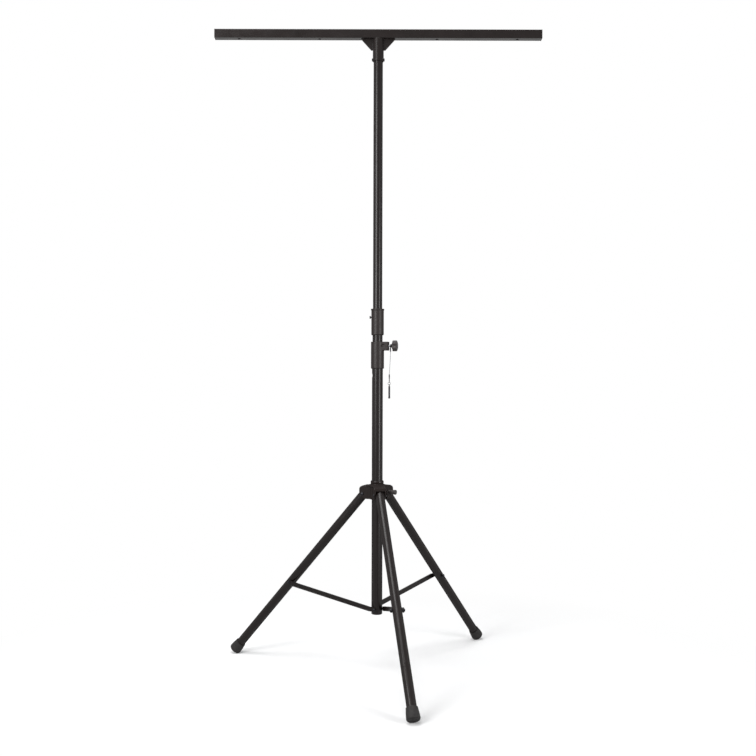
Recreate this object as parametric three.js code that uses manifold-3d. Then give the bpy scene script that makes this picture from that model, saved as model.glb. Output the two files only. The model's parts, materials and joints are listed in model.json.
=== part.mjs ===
// Lighting T bar stand: a square bar on a three-section telescopic mast, with a folding
// tripod whose legs hang from a sliding hub and are held out by braces at the mast's foot.
// Millimetres, +Z up. The floor is z = 0, and the bar runs along X.

import * as THREE from 'three';
import { mergeVertices } from 'three/addons/utils/BufferGeometryUtils.js';
import Module from 'manifold-3d';

const wasm = await Module();
wasm.setup();

// Clearances and facets

const GAP = 0.3;
const CUT = 1;
const WELD = 1e-4;
const ROUND = 32;
const SMALL_ROUND = 16;
const WIRE_ROUND = 6;
const CORD_ROUND = 8;
const CORNER_STEPS = 3;
const HEX = 6;

// T bar: a square tube with four bolt holes and a plug in each end

const BAR_LENGTH = 1200;
const BAR_SIDE = 32;
const BAR_WALL = 2;
const BAR_CORNER = 2.5;
const BAR_HOLE_R = 5.5;
const BAR_HOLE_FROM_END = 88;
const BAR_HOLE_SPACING = 296;
const CAP_FLANGE = 2;
const CAP_LIP = 0.6;
const CAP_PLUG = 18;

// Socket welded under the bar, its two gussets and its two clamp screws

const SOCKET_LENGTH = 83;
const SOCKET_WALL = 2.7;
const GUSSET_WIDTH = 44;
const GUSSET_HEIGHT = 42;
const GUSSET_TOE = 6;
const GUSSET_THICK = 5;
const SOCKET_SCREW_R = 3;
const SOCKET_SCREW_RISE = 6.5;
const SOCKET_SCREW_HEAD_R = 6.2;
const SOCKET_SCREW_HEAD = 3.4;

// Mast tubes, from the thinnest one outwards, each sliding in the next

const TOP_TUBE_R = 17;
const TOP_TUBE_WALL = 1.5;
const MIDDLE_TUBE_WALL = 1.2;
const BOTTOM_TUBE_WALL = 1.2;
const TOP_TUBE_LENGTH = 1150;
const BOTTOM_TUBE_LENGTH = 961;
const TOP_TUBE_INSIDE = 113;
const MIDDLE_STICKOUT = 115.5;
const MIDDLE_TUBE_CLEARANCE = 29;
const TUBE_PLUG_LENGTH = 16;
const TUBE_PLUG_FLANGE = 2;
const BASE_PLUG_LENGTH = 31;
const BASE_PLUG_FLANGE = 3;

// Hole for the lock pin, near the top of the bottom tube's left side

const PIN_WINDOW_R = 8;
const PIN_WINDOW_DROP = 86;
const PIN_WINDOW_AZIMUTH = 180;
const MIDDLE_PIN_HOLE_R = 4;

// Upper collar, on the middle tube's top end, with its hex lock screw

const UPPER_COLLAR_R = 23;
const UPPER_COLLAR_SLEEVE = 53;
const UPPER_COLLAR_HEAD = 43.6;
const UPPER_FLANGE_R = 24.5;
const UPPER_FLANGE = 5;
const UPPER_BUSH_WALL = 2.5;
const UPPER_LOCK_AZIMUTH = 180;
const UPPER_LOCK_RISE = 12.6;
const UPPER_LOCK_TRAVEL = 1;
const UPPER_SCREW_R = 3;
const UPPER_SCREW_HEAD_R = 5.8;
const UPPER_SCREW_HEAD = 4.2;
const UPPER_SCREW_STANDOFF = 2.2;
const UPPER_PAD_R = 4;
const COLLAR_LIP = 2;
const COLLAR_CHAMFER = 2;

// Lower collar, on the bottom tube's top end, with the clamp boss

const LOWER_COLLAR_R = 24;
const LOWER_COLLAR_SLEEVE = 61;
const LOWER_COLLAR_HEAD = 38;
const LOWER_BUSH_WALL = 2.2;
const CLAMP_AZIMUTH = -10;
const CLAMP_BOSS_REACH = 42;
const CLAMP_BOSS_WIDTH = 32;
const CLAMP_BOSS_HEIGHT = 32;
const CLAMP_DROP = 15;
const CLAMP_BOSS_EDGE = 3;
const CLAMP_DIMPLE_R = 5.4;
const CLAMP_DIMPLE_DEPTH = 2.2;
const CLAMP_DIMPLE_OUT = 22.5;
const LOCK_SCREW_R = 4;
const LOCK_PAD_R = 6;
const LOCK_PAD_LENGTH = 8;
const LOCK_THREAD_PITCH = 1.25;
const CLAMP_STEM = 8;
const CLAMP_CONE = 6;
const CLAMP_CONE_SMALL_R = 5.5;
const CLAMP_CONE_LARGE_R = 9;
const STAR_R = 17.6;
const STAR_LOBE = 2.4;
const STAR_LOBES = 6;
const STAR_THICK = 20;
const STAR_EDGE = 3;
const STAR_DOME = 3;

// Hub that slides on the bottom tube, with a housing for each leg

const PIVOT_RADIUS = 51;
const HUB_BUSH_WALL = 1.7;
const HUB_CORE_R = 29;
const HUB_SHOULDER_R = 40;
const HUB_SHOULDER_EDGE = 1;
const HUB_SHOULDER_UNDER = 4;
const HUB_NECK = 18;
const HUB_NECK_WALL = 1.5;
const HUB_NECK_CHAMFER = 1;
const HUB_BEAD = 11.5;
const HUB_BEAD_BULGE = 0.5;
const HUB_GROOVE = 1;
const HUB_GROOVE_DEPTH = 0.8;
const HUB_GROOVE_FLARE = 2;
const HUB_FOOT_DROP = 1.5;
const CHEEK = 5;
const CHEEK_SIDE_GAP = 0.5;
const CHEEK_BELOW = 1.5;
const HOUSING_REACH = 12;
const FRONT_WALL = 4;
const POCKET_HEADROOM = 10;
const HUB_ROOF = 5;
const LEG_TURN_GAP = 0.7;
const HOUSING_OUTLINE_SHARES = [
  [0, 1], [0.78, 1], [0.94, 0.9], [1, 0.78], [1, 0.49], [0.84, 0.12], [0.68, 0], [0, 0],
];
const POCKET_SLOPE_RADIUS_SHARE = 0.79;
const POCKET_SLOPE_HEIGHT_SHARE = 0.68;
const RIVET_R = 4;
const RIVET_HEAD_R = 6.5;
const RIVET_HEAD = 3;
const HUB_LOCK_AZIMUTH = -28;
const HUB_BOSS_REACH = 20;
const HUB_BOSS_WIDTH = 18;
const HUB_BOSS_BELOW = 25;
const HUB_BOSS_ABOVE = 8;
const HUB_BOSS_EDGE = 3;
const HUB_LOCK_RISE = 10;
const HUB_KNOB_LENGTH = 29;
const HUB_KNOB_R = 8.9;
const HUB_KNOB_WAIST_R = 7.5;
const HUB_KNOB_EDGE = 1.5;

// Legs, with a rounded plug at the hub end and a rubber foot

const LEG_AZIMUTHS = [-78.8, 45.7, 158.8];
const LEG_TILT = 40.6;
const LEG_LENGTH = 834;
const LEG_R = 16.5;
const LEG_WALL = 1.2;
const LEG_PLUG_LENGTH = 45;
const FOOT_TOP_R = 19.6;
const FOOT_R = 22.8;
const FOOT_SLEEVE = 33;
const FOOT_SOLE = 9;
const FOOT_EDGE = 6.5;
const FOOT_RIM = 2;
const FOOT_SWELL_SHARES = [[0.3, 0.52], [0.65, 0.87]];

// Braces, from the mast's foot to the legs

const LEG_BOLT_DISTANCE = 459;
const BRACE_LENGTH = 355.7;
const BRACE_ROOT = 2;
const BRACE_STANDOFF = 1.2;
const BRACE_WIDTH = 17;
const BRACE_SHEET = 1.6;
const BRACE_FLANGE = 7;
const BRACE_FLANGE_SETBACK = 13;
const MAST_BOLT_RISE = 18.5;
const BOLT_R = 4;
const BOLT_HEAD_R = 5.5;
const BOLT_HEAD = 4;
const MAST_BOLT_DEPTH = 11;
const NUT_R = 7.5;
const NUT_THICK = 6.5;
const SPACER_R = 6.5;

// Lanyard and lock pin, hung on the clamp screw between the boss and the knob

const WIRE_R = 0.9;
const LOOP_R = 6.5;
const LOOP_SIDE_GAP = 0.6;
const FERRULE_R = 2.3;
const FERRULE_LENGTH = 15.5;
const END_LOOP_R = 4;
const END_LOOP_STRETCH_SHARE = 2.1;
const RING_R = 5;
const RING_WIRE_R = 0.8;
const PIN_R = 3.25;
const PIN_LENGTH = 53;
const PIN_TONGUE = 3;
const PIN_TONGUE_LENGTH = 8;
const PIN_EYE_R = 1.8;
const PIN_TIP_R = 3.7;
const PIN_TIP = 6;
const PIN_TIP_EDGE = 1.6;

// The wire's route below the loop's centre, as it hangs: outwards, sideways and up
const WIRE_ROUTE = [
  [0, 0, -20.5], [-0.1, 0, -25], [-0.2, 0.1, -30], [-0.4, 0.3, -35], [-0.6, 0.5, -40],
  [-0.8, 0.8, -45], [-1.1, 1, -50], [-1.4, 1.2, -55], [-1.7, 1.3, -60], [-2, 1.3, -65],
  [-2.3, 1.2, -70], [-2.6, 1, -75], [-2.9, 0.8, -80], [-3.2, 0.5, -85], [-3.5, 0.2, -90],
  [-3.8, 0.1, -95], [-4, 0, -99.5], [-4.2, 0, -103.3],
];
const WIRE_STEPS = 18;

// Finishes

const FINISHES = {
  powder_coat: { color: 0x2b2b2d, roughness: 0.45, metalness: 0.3 },
  cast_black: { color: 0x38373a, roughness: 0.5, metalness: 0.2 },
  black_plastic: { color: 0x2c2b2c, roughness: 0.55, metalness: 0 },
  nylon: { color: 0x1d1d1e, roughness: 0.5, metalness: 0 },
  rubber: { color: 0x3a3939, roughness: 0.85, metalness: 0 },
  black_steel: { color: 0x3c3c3f, roughness: 0.4, metalness: 0.8 },
  steel: { color: 0xb4b5b8, roughness: 0.3, metalness: 1 },
};

// Sizes worked out from the ones above, and places from the floor up

const radians = THREE.MathUtils.degToRad;
const middleTubeBore = TOP_TUBE_R + GAP;
const middleTubeR = middleTubeBore + MIDDLE_TUBE_WALL;
const bottomTubeBore = middleTubeR + GAP;
const bottomTubeR = bottomTubeBore + BOTTOM_TUBE_WALL;
const tilt = radians(LEG_TILT);

const footTop = LEG_LENGTH - FOOT_SOLE - FOOT_SLEEVE;
const footBelly = LEG_LENGTH - FOOT_EDGE;
const footProfile = [
  [0, LEG_LENGTH],
  ...arc(FOOT_R - FOOT_EDGE, footBelly, FOOT_EDGE, 90, 0),
  ...FOOT_SWELL_SHARES.toReversed().map(([down, out]) => [
    FOOT_TOP_R + out * (FOOT_R - FOOT_TOP_R),
    footTop + down * (footBelly - footTop),
  ]),
  [FOOT_TOP_R, footTop + FOOT_RIM],
  [FOOT_TOP_R - FOOT_RIM, footTop],
  [LEG_R + GAP, footTop],
  [LEG_R + GAP, LEG_LENGTH - FOOT_SOLE],
  [0, LEG_LENGTH - FOOT_SOLE],
];
const pivotZ = Math.max(...footProfile.map(([r, down]) => down * Math.cos(tilt) + r * Math.sin(tilt)));
const legBoltRadius = PIVOT_RADIUS + LEG_BOLT_DISTANCE * Math.sin(tilt);
const legBoltZ = pivotZ - LEG_BOLT_DISTANCE * Math.cos(tilt);
const braceSpan = legBoltRadius - BRACE_ROOT;
const braceRise = Math.sqrt(BRACE_LENGTH ** 2 - braceSpan ** 2);
const braceLean = Math.atan2(braceSpan, braceRise);
const mastBoltZ = legBoltZ - braceRise;
const bracePlane = bottomTubeR + BRACE_STANDOFF;

const mastFootZ = mastBoltZ - MAST_BOLT_RISE;
const bottomTubeFoot = mastFootZ + BASE_PLUG_FLANGE;
const bottomTubeTop = bottomTubeFoot + BOTTOM_TUBE_LENGTH;
const lowerCollarTop = bottomTubeTop + LOWER_COLLAR_HEAD;
const clampZ = lowerCollarTop - CLAMP_DROP;
const middleTubeFoot = bottomTubeFoot + BASE_PLUG_LENGTH + MIDDLE_TUBE_CLEARANCE;
const middleTubeTop = bottomTubeTop + MIDDLE_STICKOUT;
const upperCollarTop = middleTubeTop + UPPER_COLLAR_HEAD;
const topTubeFoot = middleTubeTop - TOP_TUBE_INSIDE;
const topTubeTop = topTubeFoot + TOP_TUBE_LENGTH;
const barBottom = topTubeTop + GAP;
const barMiddle = barBottom + BAR_SIDE / 2;
const socketBore = TOP_TUBE_R + GAP;
const socketR = socketBore + SOCKET_WALL;

// The stand's legs are uneven about the mast, so the whole is moved to centre its footprint
const footReaches = LEG_AZIMUTHS.map((azimuth) => footExtent(radians(azimuth)));
const footprintBack = Math.max(...footReaches.map(([, high]) => high));
const footprintFront = Math.min(...footReaches.map(([low]) => low));

// Shape helpers

// Points of an arc about (x, y), by degrees
function arc(x, y, radius, from, to, steps = CORNER_STEPS) {
  return Array.from({ length: steps + 1 }, (_, i) => {
    const angle = radians(from + ((to - from) * i) / steps);
    return [x + radius * Math.cos(angle), y + radius * Math.sin(angle)];
  });
}

// How far a foot at this azimuth reaches along Y, at the tilt of the legs
function footExtent(azimuth) {
  const reaches = footProfile.flatMap(([radius, down]) => {
    const centre = (PIVOT_RADIUS + down * Math.sin(tilt)) * Math.sin(azimuth);
    const along = Math.cos(tilt) * Math.sin(azimuth);
    const swing = radius * Math.hypot(along, Math.cos(azimuth));
    return [centre - swing, centre + swing];
  });
  return [Math.min(...reaches), Math.max(...reaches)];
}

// A turned solid about Z from [radius, height] points that close on the axis or on themselves
function turned(profile, segments = ROUND) {
  const points = profile.map(([r, z]) => new THREE.Vector2(r, z));
  if (THREE.ShapeUtils.area(points) < 0) points.reverse();
  const open = points[0].x !== 0 || points[points.length - 1].x !== 0;
  if (open) points.push(points[0].clone());
  return new THREE.LatheGeometry(points, segments).rotateX(Math.PI / 2);
}

// A round bar about Z from one height to another
function rod(radius, from, to, segments = SMALL_ROUND) {
  return turned([[0, from], [radius, from], [radius, to], [0, to]], segments);
}

// A pipe about Z, with a bore, from one height to another
function pipe(radius, bore, from, to) {
  return turned([[bore, from], [radius, from], [radius, to], [bore, to]]);
}

// A ring about Z of round wire
function ring(radius, wireRadius) {
  return turned(arc(radius, 0, wireRadius, 0, 360 - 360 / WIRE_ROUND, WIRE_ROUND - 1), SMALL_ROUND);
}

// Turned geometry laid along X or along Y instead of Z
const alongX = (geometry) => geometry.rotateY(Math.PI / 2);
const alongY = (geometry) => geometry.rotateX(-Math.PI / 2);

// A plate of even thickness from an outline in the X and Z plane, centred on y
function plate(outline, thickness, y = 0) {
  const shape = new THREE.Shape(outline.map(([x, z]) => new THREE.Vector2(x, z)));
  const geometry = new THREE.ExtrudeGeometry(shape, { depth: thickness, bevelEnabled: false });
  return geometry.rotateX(Math.PI / 2).translate(0, y + thickness / 2, 0);
}

// A block with rounded upright edges at its outer end, between two heights
function boss(reach, width, edge, from, to) {
  const half = width / 2;
  const points = [
    [0, -half],
    ...arc(reach - edge, edge - half, edge, -90, 0),
    ...arc(reach - edge, half - edge, edge, 0, 90),
    [0, half],
  ].map(([x, y]) => new THREE.Vector2(x, y));
  const shape = new THREE.Shape(points);
  return new THREE.ExtrudeGeometry(shape, { depth: to - from, bevelEnabled: false }).translate(0, 0, from);
}

// The path of a square with rounded corners
function roundedSquare(side, corner) {
  const inner = side / 2 - corner;
  return [
    ...arc(inner, -inner, corner, -90, 0),
    ...arc(inner, inner, corner, 0, 90),
    ...arc(-inner, inner, corner, 90, 180),
    ...arc(-inner, -inner, corner, 180, 270),
  ].map(([x, y]) => new THREE.Vector2(x, y));
}

// A rounded square bar along X, with a bore if an inner side is given
function squareBar(side, corner, from, to, innerSide = 0, innerCorner = 0) {
  const shape = new THREE.Shape(roundedSquare(side, corner));
  if (innerSide > 0) shape.holes.push(new THREE.Path(roundedSquare(innerSide, innerCorner)));
  const geometry = new THREE.ExtrudeGeometry(shape, { depth: to - from, bevelEnabled: false });
  return geometry.rotateY(Math.PI / 2).translate(from, 0, 0);
}

// Solids for cutting and joining, and back to geometry

function solid(geometry) {
  const bare = geometry.clone();
  bare.deleteAttribute('normal');
  bare.deleteAttribute('uv');
  const merged = mergeVertices(bare, WELD);
  const index = merged.index.array;
  const corners = [];
  for (let i = 0; i < index.length; i += 3) {
    const [a, b, c] = [index[i], index[i + 1], index[i + 2]];
    if (a !== b && b !== c && c !== a) corners.push(a, b, c);
  }
  const mesh = new wasm.Mesh({
    numProp: 3,
    vertProperties: new Float32Array(merged.attributes.position.array),
    triVerts: new Uint32Array(corners),
  });
  return new wasm.Manifold(mesh);
}

function shaped(manifold) {
  const mesh = manifold.getMesh();
  const geometry = new THREE.BufferGeometry();
  geometry.setAttribute('position', new THREE.BufferAttribute(mesh.vertProperties, 3));
  geometry.setIndex(new THREE.BufferAttribute(mesh.triVerts, 1));
  geometry.computeVertexNormals();
  return geometry;
}

const join = (first, ...rest) => rest.reduce((sum, next) => sum.add(solid(next)), solid(first));
const cut = (body, ...tools) => tools.reduce((left, tool) => left.subtract(solid(tool)), body);

// Meshes

const materials = Object.fromEntries(
  Object.entries(FINISHES).map(([name, finish]) => [name, new THREE.MeshStandardMaterial(finish)]),
);

function piece(name, geometry, finish) {
  const mesh = new THREE.Mesh(geometry, materials[finish]);
  mesh.name = name;
  return mesh;
}

function group(children, { x = 0, y = 0, z = 0, azimuth = 0, lean = 0 } = {}) {
  const holder = new THREE.Group();
  holder.add(...children);
  holder.position.set(x, y, z);
  holder.rotation.set(0, lean, azimuth, 'ZYX');
  return holder;
}

// T bar, with its plugs, socket, gussets and clamp screws

function tBar() {
  const half = BAR_LENGTH / 2;
  const innerSide = BAR_SIDE - 2 * BAR_WALL;
  const innerCorner = BAR_CORNER - BAR_WALL;
  const bar = solid(squareBar(BAR_SIDE, BAR_CORNER, -half, half, innerSide, innerCorner));
  const outerHole = half - BAR_HOLE_FROM_END;
  const innerHole = outerHole - BAR_HOLE_SPACING;
  const holes = [-outerHole, -innerHole, innerHole, outerHole].map(
    (x) => rod(BAR_HOLE_R, -BAR_SIDE, BAR_SIDE).translate(x, 0, 0),
  );
  const tube = piece('t_bar_tube', shaped(cut(bar, ...holes)), 'powder_coat');
  const capSide = BAR_SIDE + 2 * CAP_LIP;
  const plugSide = innerSide - 2 * GAP;
  const caps = ['end_cap_left', 'end_cap_right'].map((name, i) => {
    const flange = squareBar(capSide, BAR_CORNER + CAP_LIP, half, half + CAP_FLANGE);
    const plug = squareBar(plugSide, innerCorner, half - CAP_PLUG, half + CAP_FLANGE / 2);
    const cap = piece(name, shaped(join(flange, plug)), 'black_plastic');
    cap.rotation.z = i === 0 ? Math.PI : 0;
    return cap;
  });
  return group([tube, ...caps], { z: barMiddle });
}

function barSocket() {
  const foot = barBottom - SOCKET_LENGTH;
  const screwZ = foot + SOCKET_SCREW_RISE;
  const shell = cut(
    solid(pipe(socketR, socketBore, foot, barBottom)),
    alongX(rod(SOCKET_SCREW_R + GAP, -socketR - CUT, socketR + CUT)).translate(0, 0, screwZ),
  );
  const gussetOutline = [
    [socketR + GAP, barBottom],
    [socketR + GUSSET_WIDTH, barBottom],
    [socketR + GUSSET_TOE, barBottom - GUSSET_HEIGHT],
    [socketR + GAP, barBottom - GUSSET_HEIGHT],
  ];
  const screwProfile = [
    [0, socketBore],
    [SOCKET_SCREW_R, socketBore],
    [SOCKET_SCREW_R, socketR + GAP],
    [SOCKET_SCREW_HEAD_R, socketR + GAP],
    [SOCKET_SCREW_HEAD_R, socketR + GAP + SOCKET_SCREW_HEAD / 3],
    [SOCKET_SCREW_HEAD_R * 0.85, socketR + GAP + SOCKET_SCREW_HEAD * 0.75],
    [SOCKET_SCREW_HEAD_R / 2, socketR + GAP + SOCKET_SCREW_HEAD],
    [0, socketR + GAP + SOCKET_SCREW_HEAD],
  ];
  const sides = ['left', 'right'].flatMap((side, i) => {
    const gusset = piece(`gusset_${side}`, plate(gussetOutline, GUSSET_THICK), 'powder_coat');
    const screw = piece(`socket_screw_${side}`, alongX(turned(screwProfile, SMALL_ROUND)), 'black_steel');
    screw.position.z = screwZ;
    return [group([gusset, screw], { azimuth: i === 0 ? Math.PI : 0 })];
  });
  return group([piece('bar_socket', shaped(shell), 'powder_coat'), ...sides]);
}

// A plug with a flange, closing the foot of a tube
function tubePlug(tubeR, bore, tubeFoot, length) {
  return turned([
    [0, tubeFoot - TUBE_PLUG_FLANGE],
    [tubeR - GAP, tubeFoot - TUBE_PLUG_FLANGE],
    [tubeR, tubeFoot - GAP],
    [bore - GAP, tubeFoot - GAP],
    [bore - GAP, tubeFoot + length],
    [0, tubeFoot + length],
  ]);
}

// Top section: the tube that carries the bar

function topSection() {
  const bore = TOP_TUBE_R - TOP_TUBE_WALL;
  return group([
    piece('top_tube', pipe(TOP_TUBE_R, bore, topTubeFoot, topTubeTop), 'powder_coat'),
    piece('top_tube_plug', tubePlug(TOP_TUBE_R, bore, topTubeFoot, TUBE_PLUG_LENGTH), 'nylon'),
  ]);
}

// Middle section: tube, upper collar and its hex lock screw

function middleSection() {
  const windowZ = bottomTubeTop - PIN_WINDOW_DROP;
  const pinHole = alongX(rod(MIDDLE_PIN_HOLE_R, 0, middleTubeR + CUT))
    .rotateZ(radians(PIN_WINDOW_AZIMUTH))
    .translate(0, 0, windowZ);
  const tube = cut(solid(pipe(middleTubeR, middleTubeBore, middleTubeFoot, middleTubeTop)), pinHole);
  return group([
    piece('middle_tube', shaped(tube), 'powder_coat'),
    piece(
      'middle_tube_plug',
      tubePlug(middleTubeR, middleTubeBore, middleTubeFoot, TUBE_PLUG_LENGTH),
      'nylon',
    ),
    ...upperCollar(),
  ]);
}

function upperCollar() {
  const foot = middleTubeTop - UPPER_COLLAR_SLEEVE;
  const flangeFoot = upperCollarTop - UPPER_FLANGE;
  const bushBore = TOP_TUBE_R + GAP;
  const bushR = bushBore + UPPER_BUSH_WALL;
  const lockZ = middleTubeTop + UPPER_LOCK_RISE;
  const body = turned([
    [middleTubeR + GAP, foot],
    [UPPER_COLLAR_R - COLLAR_CHAMFER, foot],
    [UPPER_COLLAR_R, foot + COLLAR_CHAMFER],
    [UPPER_COLLAR_R, flangeFoot],
    [UPPER_FLANGE_R, flangeFoot],
    [UPPER_FLANGE_R, upperCollarTop],
    [bushBore + GAP, upperCollarTop],
    [bushBore + GAP, upperCollarTop - COLLAR_LIP],
    [bushR + GAP, upperCollarTop - COLLAR_LIP],
    [bushR + GAP, middleTubeTop + GAP],
    [middleTubeR + GAP, middleTubeTop + GAP],
  ]);
  const screwHole = alongX(rod(UPPER_SCREW_R + GAP, 0, UPPER_FLANGE_R + CUT)).translate(0, 0, lockZ);
  const padHole = alongX(rod(UPPER_PAD_R + GAP, 0, bushR + UPPER_LOCK_TRAVEL + GAP)).translate(0, 0, lockZ);
  const bushWindow = alongX(rod(UPPER_PAD_R + GAP, 0, UPPER_FLANGE_R)).translate(0, 0, lockZ);
  const bush = solid(pipe(bushR, bushBore, middleTubeTop + 2 * GAP, upperCollarTop - COLLAR_LIP - GAP));
  const padBack = bushR;
  const headFoot = UPPER_COLLAR_R + UPPER_SCREW_STANDOFF;
  const screw = join(
    alongX(rod(UPPER_SCREW_R, padBack + GAP, headFoot + UPPER_SCREW_HEAD / 2)),
    alongX(rod(UPPER_SCREW_HEAD_R, headFoot, headFoot + UPPER_SCREW_HEAD, HEX)),
  );
  const lock = [
    piece('upper_collar', shaped(cut(solid(body), screwHole, padHole)), 'cast_black'),
    piece('upper_collar_bush', shaped(cut(bush, bushWindow)), 'nylon'),
    group(
      [
        piece('upper_lock_pad', alongX(rod(UPPER_PAD_R, bushBore, padBack)), 'nylon'),
        piece('upper_lock_screw', shaped(screw), 'black_steel'),
      ],
      { z: lockZ },
    ),
  ];
  return [group(lock, { azimuth: radians(UPPER_LOCK_AZIMUTH) })];
}

// Mast foot: bottom tube, base plug and the three bolts that the braces turn on

function mast() {
  const windowZ = bottomTubeTop - PIN_WINDOW_DROP;
  const windowCut = alongX(rod(PIN_WINDOW_R, 0, bottomTubeR + CUT, ROUND))
    .rotateZ(radians(PIN_WINDOW_AZIMUTH))
    .translate(0, 0, windowZ);
  const boltCuts = () => LEG_AZIMUTHS.map((azimuth) =>
    alongY(rod(BOLT_R + GAP, MAST_BOLT_DEPTH - GAP, bottomTubeR + CUT))
      .translate(BRACE_ROOT, 0, mastBoltZ)
      .rotateZ(radians(azimuth)));
  const tube = cut(
    solid(pipe(bottomTubeR, bottomTubeBore, bottomTubeFoot, bottomTubeTop)),
    windowCut,
    ...boltCuts(),
  );
  const plug = turned([
    [0, mastFootZ],
    [bottomTubeR - COLLAR_CHAMFER, mastFootZ],
    [bottomTubeR, bottomTubeFoot - GAP - BASE_PLUG_FLANGE / 3],
    [bottomTubeR, bottomTubeFoot - GAP],
    [bottomTubeBore - GAP, bottomTubeFoot - GAP],
    [bottomTubeBore - GAP, bottomTubeFoot + BASE_PLUG_LENGTH],
    [0, bottomTubeFoot + BASE_PLUG_LENGTH],
  ]);
  const headFoot = bracePlane + BRACE_SHEET + GAP;
  const bolts = LEG_AZIMUTHS.map((azimuth, i) => {
    const bolt = alongY(turned([
      [0, MAST_BOLT_DEPTH],
      [BOLT_R, MAST_BOLT_DEPTH],
      [BOLT_R, headFoot],
      ...panHead(headFoot),
    ], SMALL_ROUND));
    bolt.translate(BRACE_ROOT, 0, mastBoltZ);
    return group([piece(`mast_bolt_${i + 1}`, bolt, 'black_steel')], { azimuth: radians(azimuth) });
  });
  return group([
    piece('bottom_tube', shaped(tube), 'powder_coat'),
    piece('base_plug', shaped(cut(solid(plug), ...boltCuts())), 'cast_black'),
    ...bolts,
  ]);
}

// The head of a bolt, low and rounded, as the end of a profile that starts at its underside
function panHead(underside) {
  return [
    [BOLT_HEAD_R, underside],
    [BOLT_HEAD_R, underside + BOLT_HEAD / 2],
    ...arc(BOLT_HEAD_R - BOLT_HEAD / 2, underside + BOLT_HEAD / 2, BOLT_HEAD / 2, 0, 90).slice(1),
    [0, underside + BOLT_HEAD],
  ];
}

// Lower collar, with its bush, clamp pad, screw, star knob and the lock pin's lanyard

function lowerCollar() {
  const foot = bottomTubeTop - LOWER_COLLAR_SLEEVE;
  const bushBore = middleTubeR + GAP;
  const bushR = bushBore + LOWER_BUSH_WALL;
  const seat = bottomTubeTop + GAP;
  const bossFoot = lowerCollarTop - CLAMP_BOSS_HEIGHT;
  const barrel = rod(LOWER_COLLAR_R, bossFoot, lowerCollarTop, ROUND);
  const sleeve = turned([
    [0, foot],
    [LOWER_COLLAR_R - COLLAR_CHAMFER, foot],
    [LOWER_COLLAR_R, foot + COLLAR_CHAMFER],
    [LOWER_COLLAR_R, bossFoot + CUT],
    [0, bossFoot + CUT],
  ]);
  const clampBoss = boss(CLAMP_BOSS_REACH, CLAMP_BOSS_WIDTH, CLAMP_BOSS_EDGE, bossFoot, lowerCollarTop);
  const padBack = bushBore + LOCK_PAD_LENGTH;
  const bossFront = CLAMP_BOSS_WIDTH / 2;
  const dimple = alongY(rod(CLAMP_DIMPLE_R, bossFront - CLAMP_DIMPLE_DEPTH, bossFront + CUT))
    .rotateZ(Math.PI)
    .translate(CLAMP_DIMPLE_OUT, 0, clampZ);
  const body = cut(
    join(barrel, sleeve, clampBoss),
    rod(bottomTubeR + GAP, foot - CUT, seat, ROUND),
    rod(bushR + GAP, seat - CUT, lowerCollarTop - COLLAR_LIP, ROUND),
    rod(bushBore + GAP, seat, lowerCollarTop + CUT, ROUND),
    alongX(rod(LOCK_SCREW_R + GAP, 0, CLAMP_BOSS_REACH + CUT)).translate(0, 0, clampZ),
    alongX(rod(LOCK_PAD_R + GAP, 0, padBack + LOCK_SCREW_R)).translate(0, 0, clampZ),
    dimple,
  );
  const bush = cut(
    solid(pipe(bushR, bushBore, seat + GAP, lowerCollarTop - COLLAR_LIP - GAP)),
    alongX(rod(LOCK_PAD_R + GAP, 0, LOWER_COLLAR_R)).translate(0, 0, clampZ),
  );
  const knobFoot = CLAMP_BOSS_REACH + CLAMP_STEM;
  const parts = [
    piece('lower_collar', shaped(body), 'cast_black'),
    piece('lower_collar_bush', shaped(bush), 'nylon'),
    group([...lockScrew('clamp', bushBore, padBack, knobFoot), starKnob(knobFoot)], { z: clampZ }),
    lanyard(),
  ];
  return group(parts, { azimuth: radians(CLAMP_AZIMUTH) });
}

// The pad that presses on a tube and the screw behind it, along X
function lockScrew(name, padFront, padBack, knobFoot) {
  const thread = rod(LOCK_SCREW_R, padBack + GAP, knobFoot + CLAMP_CONE);
  return [
    piece(`${name}_pad`, alongX(rod(LOCK_PAD_R, padFront, padBack)), 'nylon'),
    piece(`${name}_screw`, alongX(thread), 'steel'),
  ];
}

function starKnob(foot) {
  const starFoot = foot + CLAMP_CONE;
  const starTop = starFoot + STAR_THICK;
  const outline = Array.from({ length: STAR_LOBES * 2 * HEX }, (_, i) => {
    const angle = (2 * Math.PI * i) / (STAR_LOBES * 2 * HEX);
    const radius = STAR_R + STAR_LOBE * Math.cos(STAR_LOBES * angle);
    return new THREE.Vector2(radius * Math.cos(angle), radius * Math.sin(angle));
  });
  const prism = new THREE.ExtrudeGeometry(new THREE.Shape(outline), { depth: STAR_THICK, bevelEnabled: false })
    .translate(0, 0, starFoot);
  const reach = STAR_R + STAR_LOBE;
  const envelope = turned([
    [0, starFoot],
    [reach - STAR_EDGE, starFoot],
    ...arc(reach - STAR_EDGE, starFoot + STAR_EDGE, STAR_EDGE, -90, 0).slice(1),
    ...arc(reach - STAR_EDGE, starTop - STAR_DOME - STAR_EDGE, STAR_EDGE, 0, 60),
    [reach / 2, starTop - STAR_DOME / 3],
    [0, starTop],
  ]);
  const cone = turned([
    [0, foot],
    [CLAMP_CONE_SMALL_R, foot],
    [CLAMP_CONE_LARGE_R, starFoot],
    [CLAMP_CONE_LARGE_R, starFoot + CUT],
    [0, starFoot + CUT],
  ]);
  const bore = rod(LOCK_SCREW_R + GAP, foot - CUT, starFoot + GAP);
  const knob = solid(prism).intersect(solid(envelope)).add(solid(cone)).subtract(solid(bore));
  return piece('clamp_knob', alongX(shaped(knob)), 'black_plastic');
}

// Lanyard: a wire loop on the clamp screw, the wire, its end loop, a split ring and the pin

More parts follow.
